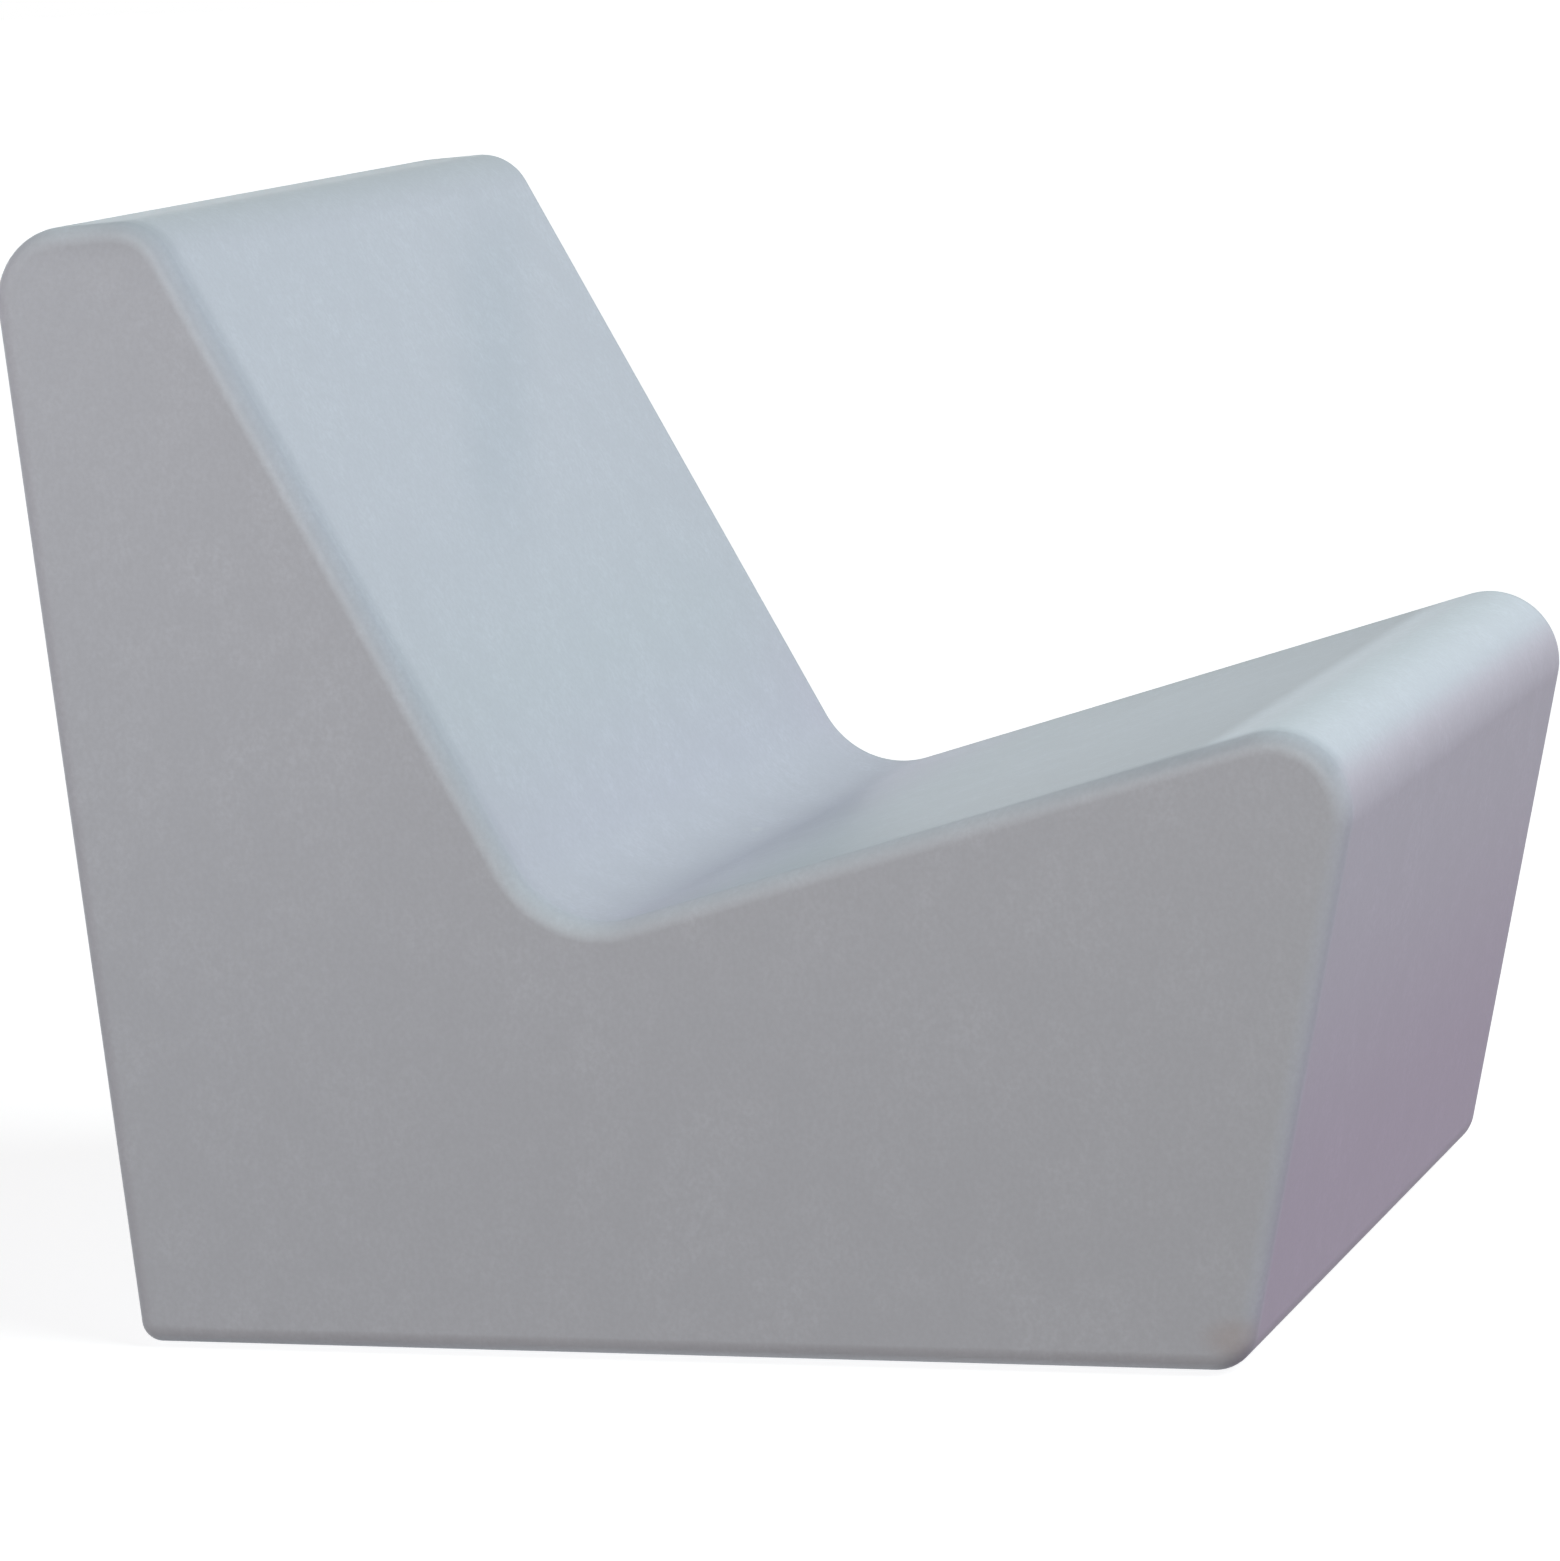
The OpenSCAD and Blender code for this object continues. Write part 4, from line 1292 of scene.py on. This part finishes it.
class CHAIR_OT_controls(bpy.types.Operator):
    """Builds the dished power button and the ribbed rubber cap of the charging socket"""

    bl_idname = "lounge_chair.controls"
    bl_label = "Build Controls"

    # Radius and depth of the dish in the button's face, in millimetres
    dish = ((0.8, 0.4), (2.4, 0.36), (4, 0.2), (5, 0.05))
    # Radius and height of the groove in the cap's face, in millimetres
    groove = ((1.6, 0.1), (1.7, 0), (2.6, 0), (2.9, 0.3), (3.7, 0.3), (4.0, 0))
    # Radius and height of the plug behind the cap, in millimetres
    plug = ((5.1, 0), (4.75, 2.1), (4.4, 2.5))

    def execute(self, context):
        colours = settings().finishes
        self.add_button(satin_plastic_finish("button_plastic", colours.button, 0.36))
        self.add_cap(rubber_finish("cap_rubber", colours.rubber))
        return {"FINISHED"}

    def add_button(self, finish):
        """A dished face with a round edge, the collar that keeps it in and its stem"""
        low, high = (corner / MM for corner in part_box("power_button"))
        face, collar, stem, soft, edge = low.z, (high.x - low.x) / 2, 2.4, 0.2, 0.8
        step, behind, tall = 2, 4.4, 1.5
        radius, collar_low, collar_top = collar - step, face + behind, face + behind + tall
        profile = [(reach, face + depth) for reach, depth in self.dish]
        profile += round_edge(radius, face, edge)
        profile += [
            (radius, collar_low), (collar - soft, collar_low), (collar, collar_low + soft),
            (collar, collar_top - soft), (collar - soft, collar_top), (stem, collar_top),
            (stem, high.z - soft), (stem - soft, high.z),
        ]
        sheet = MeshSheet()
        middle = (low + high) / 2 * MM
        sheet.spun((middle.x, middle.y), profile, 64)
        button = sheet.object("dished_button", finish)
        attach(button, "button")
        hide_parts("power_button")

    def add_cap(self, finish):
        """A round cap with a groove, its plug, a ribbed finger tab and the strap to its hinge"""
        low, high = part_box("jack_cap")
        radius, tall, tab_long, tab_shows, ribs, rib_gap = 7.5, 2, 6, 4, 3, 1.1
        half, thick, rib, soft, strap_start = 3 * MM, 1.4 * MM, 0.3 * MM, 0.2, 5 * MM
        tab, hinge = low.x, high.x - thick / 2
        middle = (tab + (tab_shows + radius) * MM, (low.y + high.y) / 2)
        face = low.z / MM
        rear, top = face + tall, (face + tall) * MM
        profile = [(reach, face + height) for reach, height in self.groove]
        profile += round_edge(radius, face, 1)
        profile += [(radius, rear - soft), (radius - soft, rear)]
        profile += [(reach, rear + height) for reach, height in self.plug]
        sheet = MeshSheet()
        sheet.spun(middle, profile, 64)
        for start, end, edge in (
            (tab, tab + tab_long * MM, 0.4 * MM), (middle[0] + strap_start, hinge, 0.3 * MM),
        ):
            sheet.block((start, middle[1] - half, top - thick), (end, middle[1] + half, top), edge)
        for k in range(ribs):
            spot = (tab + rib_gap * (k + 1) * MM, middle[1], top - thick)
            sheet.bar(spot, rib, (0, half * 0.8))
        sheet.bar((hinge, middle[1], top - thick / 2), thick / 2, (0, half))
        cap = sheet.object("ribbed_cap", finish)
        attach(cap, "cap")
        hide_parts("jack_cap")


class CHAIR_OT_cells(bpy.types.Operator):
    """Builds the two battery cells, side by side with their nubs at opposite ends"""

    bl_idname = "lounge_chair.cells"
    bl_label = "Build Cells"

    # How far the nub stands above its end, in millimetres
    nub = 1.0

    def execute(self, context):
        low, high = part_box("battery_cells")
        radius, body = (high.z - low.z) / 2 / MM, (high.x - low.x) / MM - self.nub
        sleeves, cans = MeshSheet(), MeshSheet()
        for y, end, way in ((low.y + radius * MM, high.x, -1), (high.y - radius * MM, low.x, 1)):
            start = Vector((end, y, (low.z + high.z) / 2))
            rings = sleeves.lathed(start, way, self.wrap_section(radius, body))
            sleeves.wall(rings[-1], rings[0])
            rings = cans.lathed(start, way, self.can_section(radius, body))
            cans.cap(rings[0])
            cans.cap(rings[-1])
        colours = settings().finishes
        sleeves = sleeves.object("cell_sleeves", wrap_finish("sleeve_wrap", colours.cell))
        cans = cans.object("cell_cans", metal_finish("plated_can", (0.62, 0.6, 0.56), 0.28))
        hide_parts("battery_cells")
        for piece, slot in ((sleeves, "cell_wrap"), (cans, "contact_plate")):
            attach(piece, "chair")
        return {"FINISHED"}

    def wrap_section(self, radius, body):
        """The wrap: it goes round both ends and follows the groove rolled in near the nub"""
        inner, groove, lip = radius - 0.55, radius - 0.4, radius - 1.3
        return [
            (radius - 0.9, 0.0), (radius - 0.3, 0.15), (radius, 0.8), (radius, body - 4.6),
            (groove, body - 3.9), (groove, body - 3.1), (radius, body - 2.4), (radius, body - 0.7),
            (radius - 0.3, body - 0.1), (lip, body), (lip, body - 0.2), (inner, body - 0.5),
            (inner, 0.5), (radius - 0.9, 0.2),
        ]

    def can_section(self, radius, body):
        """The can: a flat end, the ring round the nub and the nub itself"""
        wall, ring, deep, nub = radius - 0.6, body - 0.25, body - 0.6, 2.8
        return [
            (radius - 1.1, 0.1), (wall, 0.6), (wall, body - 0.8), (radius - 1.3, ring), (6.4, ring),
            (6.1, deep), (3.4, deep), (3.0, body - 0.3), (nub, body), (nub, body + self.nub - 0.25),
            (nub - 0.3, body + self.nub),
        ]


class CHAIR_OT_chips(bpy.types.Operator):
    """Builds the two rings of light chips: a white package each, with phosphor in its well"""

    bl_idname = "lounge_chair.chips"
    bl_label = "Build Light Chips"

    def execute(self, context):
        low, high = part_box("led_chips")
        middle, tall = (low + high) / 2, high.z - low.z
        white = satin_plastic_finish("package_white", (0.82, 0.82, 0.8), 0.45)
        glow = phosphor_finish("well_phosphor")
        pieces = []
        for name, count, ring in (("outer", 16, 32 * MM), ("inner", 8, 16 * MM)):
            spots = {
                "Count": count, "Radius": ring, "Start": math.pi / count,
                "Centre": (middle.x, middle.y, low.z),
            }
            package = self.package(name + "_chip_packages", tall, white)
            pieces.append((placed(package, "ring", white, **spots), "reflector_white"))
            well = turned_part(name + "_chip_phosphor", self.filling(tall / MM), 24, glow)
            pieces.append((placed(well, "ring", glow, **spots), "led_phosphor"))
        for piece, slot in pieces:
            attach(piece, "chair")
        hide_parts("led_chips")
        return {"FINISHED"}

    def package(self, name, tall, finish):
        """A square block with bevelled top edges and a round well"""
        sheet = MeshSheet()
        half, soft, rim, floor, well = (size * MM for size in (2.5, 0.15, 2.05, 1.9, 0.7))
        squares = [
            sheet.loop((side * reach, end * reach, z) for side, end in SQUARE)
            for reach, z in ((half, 0.0), (half, tall - soft), (half - soft, tall))
        ]
        for lower, upper in zip(squares, squares[1:]):
            sheet.wall(lower, upper)
        sheet.cap(squares[0])
        top, bottom = sheet.turned((0, 0), [(rim, tall), (floor, tall - well)], 24)
        sheet.cap(bottom)
        sheet.panel(squares[-1], [top])
        return sheet.object(name, finish)

    def filling(self, tall):
        """The phosphor's section in millimetres: a low dome in the well"""
        pin, floor = 0.05, tall - 0.68
        return [
            (pin, floor), (1.88, floor), (1.98, tall - 0.3), (1.2, tall - 0.2), (pin, tall - 0.17),
        ]


class CHAIR_OT_frame_finishes(bpy.types.Operator):
    """Gives every solid of the frame its finish"""

    bl_idname = "lounge_chair.frame_finishes"
    bl_label = "Finish Frame"

    def execute(self, context):
        colours = settings().finishes
        rubber = rubber_finish("seal_rubber", colours.rubber)
        finishes = {
            "body_plastic": satin_plastic_finish("body_plastic", colours.body, 0.5),
            "glide_rubber": rubber,
            "seal_rubber": rubber,
            "brass": metal_finish("brass", colours.brass, 0.32),
            "screw_steel": metal_finish("small_screw_steel", colours.steel, 0.3),
            "housing_plastic": satin_plastic_finish("housing_plastic", colours.housing, 0.44),
            "dome_plastic": frosted_finish(),
            "reflector_white": satin_plastic_finish(
                "reflector_white", (0.86, 0.86, 0.85), 0.5, 700
            ),
            "led_board_white": board_finish("light_board", (0.8, 0.8, 0.79), (0.72, 0.72, 0.7)),
            "led_phosphor": phosphor_finish("phosphor"),
            "black_plastic": satin_plastic_finish("black_plastic", (0.018, 0.018, 0.02), 0.4),
            "cell_wrap": wrap_finish("cell_wrap", colours.cell),
            "contact_plate": metal_finish("contact_plate", (0.62, 0.6, 0.56), 0.26),
            "board_green": board_finish("control_board", colours.board, (0.05, 0.22, 0.12)),
            "button_plastic": satin_plastic_finish("plunger_plastic", colours.button, 0.36),
            "lens_clear": lens_finish(),
            "red_wire": insulation_finish("red_wire", (0.46, 0.02, 0.02)),
            "white_wire": insulation_finish("white_wire", (0.74, 0.74, 0.72)),
        }
        slots = {part["node"]: part["material_slot"] for part in frame["record"]["subparts"]}
        for name, node in frame["nodes"].items():
            material = finishes[slots[name]]
            if node.material_slots:
                for place in node.material_slots:
                    place.material = material
            else:
                node.data.materials.append(material)
        return {"FINISHED"}


class CHAIR_PT_panel(bpy.types.Panel):
    """Lists the chair's sizes, finishes and builders"""

    bl_label = "Lounge Chair"
    bl_idname = "CHAIR_PT_panel"
    bl_space_type = "VIEW_3D"
    bl_region_type = "UI"
    bl_category = "Chair"

    def draw(self, context):
        chair = context.scene.lounge_chair
        for title, group in (
            ("Body", chair.body), ("Base", chair.base), ("Finishes", chair.finishes),
            ("Studio", chair.studio),
        ):
            box = self.layout.box()
            box.label(text=title)
            for field in group.bl_rna.properties:
                if field.identifier not in ("rna_type", "name"):
                    box.prop(group, field.identifier)
        for operator in OPERATORS:
            self.layout.operator(operator.bl_idname)


OPERATORS = (
    CHAIR_OT_studio,
    CHAIR_OT_body,
    CHAIR_OT_glides,
    CHAIR_OT_screws,
    CHAIR_OT_controls,
    CHAIR_OT_cells,
    CHAIR_OT_chips,
    CHAIR_OT_frame_finishes,
)
GROUPS = (BodySizes, BaseSizes, Finishes, Studio, ChairSettings)


def register():
    for kind in (*GROUPS, *OPERATORS, CHAIR_PT_panel):
        bpy.utils.register_class(kind)
    bpy.types.Scene.lounge_chair = PointerProperty(type=ChairSettings)


def unregister():
    del bpy.types.Scene.lounge_chair
    for kind in reversed((*GROUPS, *OPERATORS, CHAIR_PT_panel)):
        bpy.utils.unregister_class(kind)


def main():
    register()
    for operator in OPERATORS:
        group, name = operator.bl_idname.split(".")
        getattr(getattr(bpy.ops, group), name)()


if __name__ == "__main__":
    main()
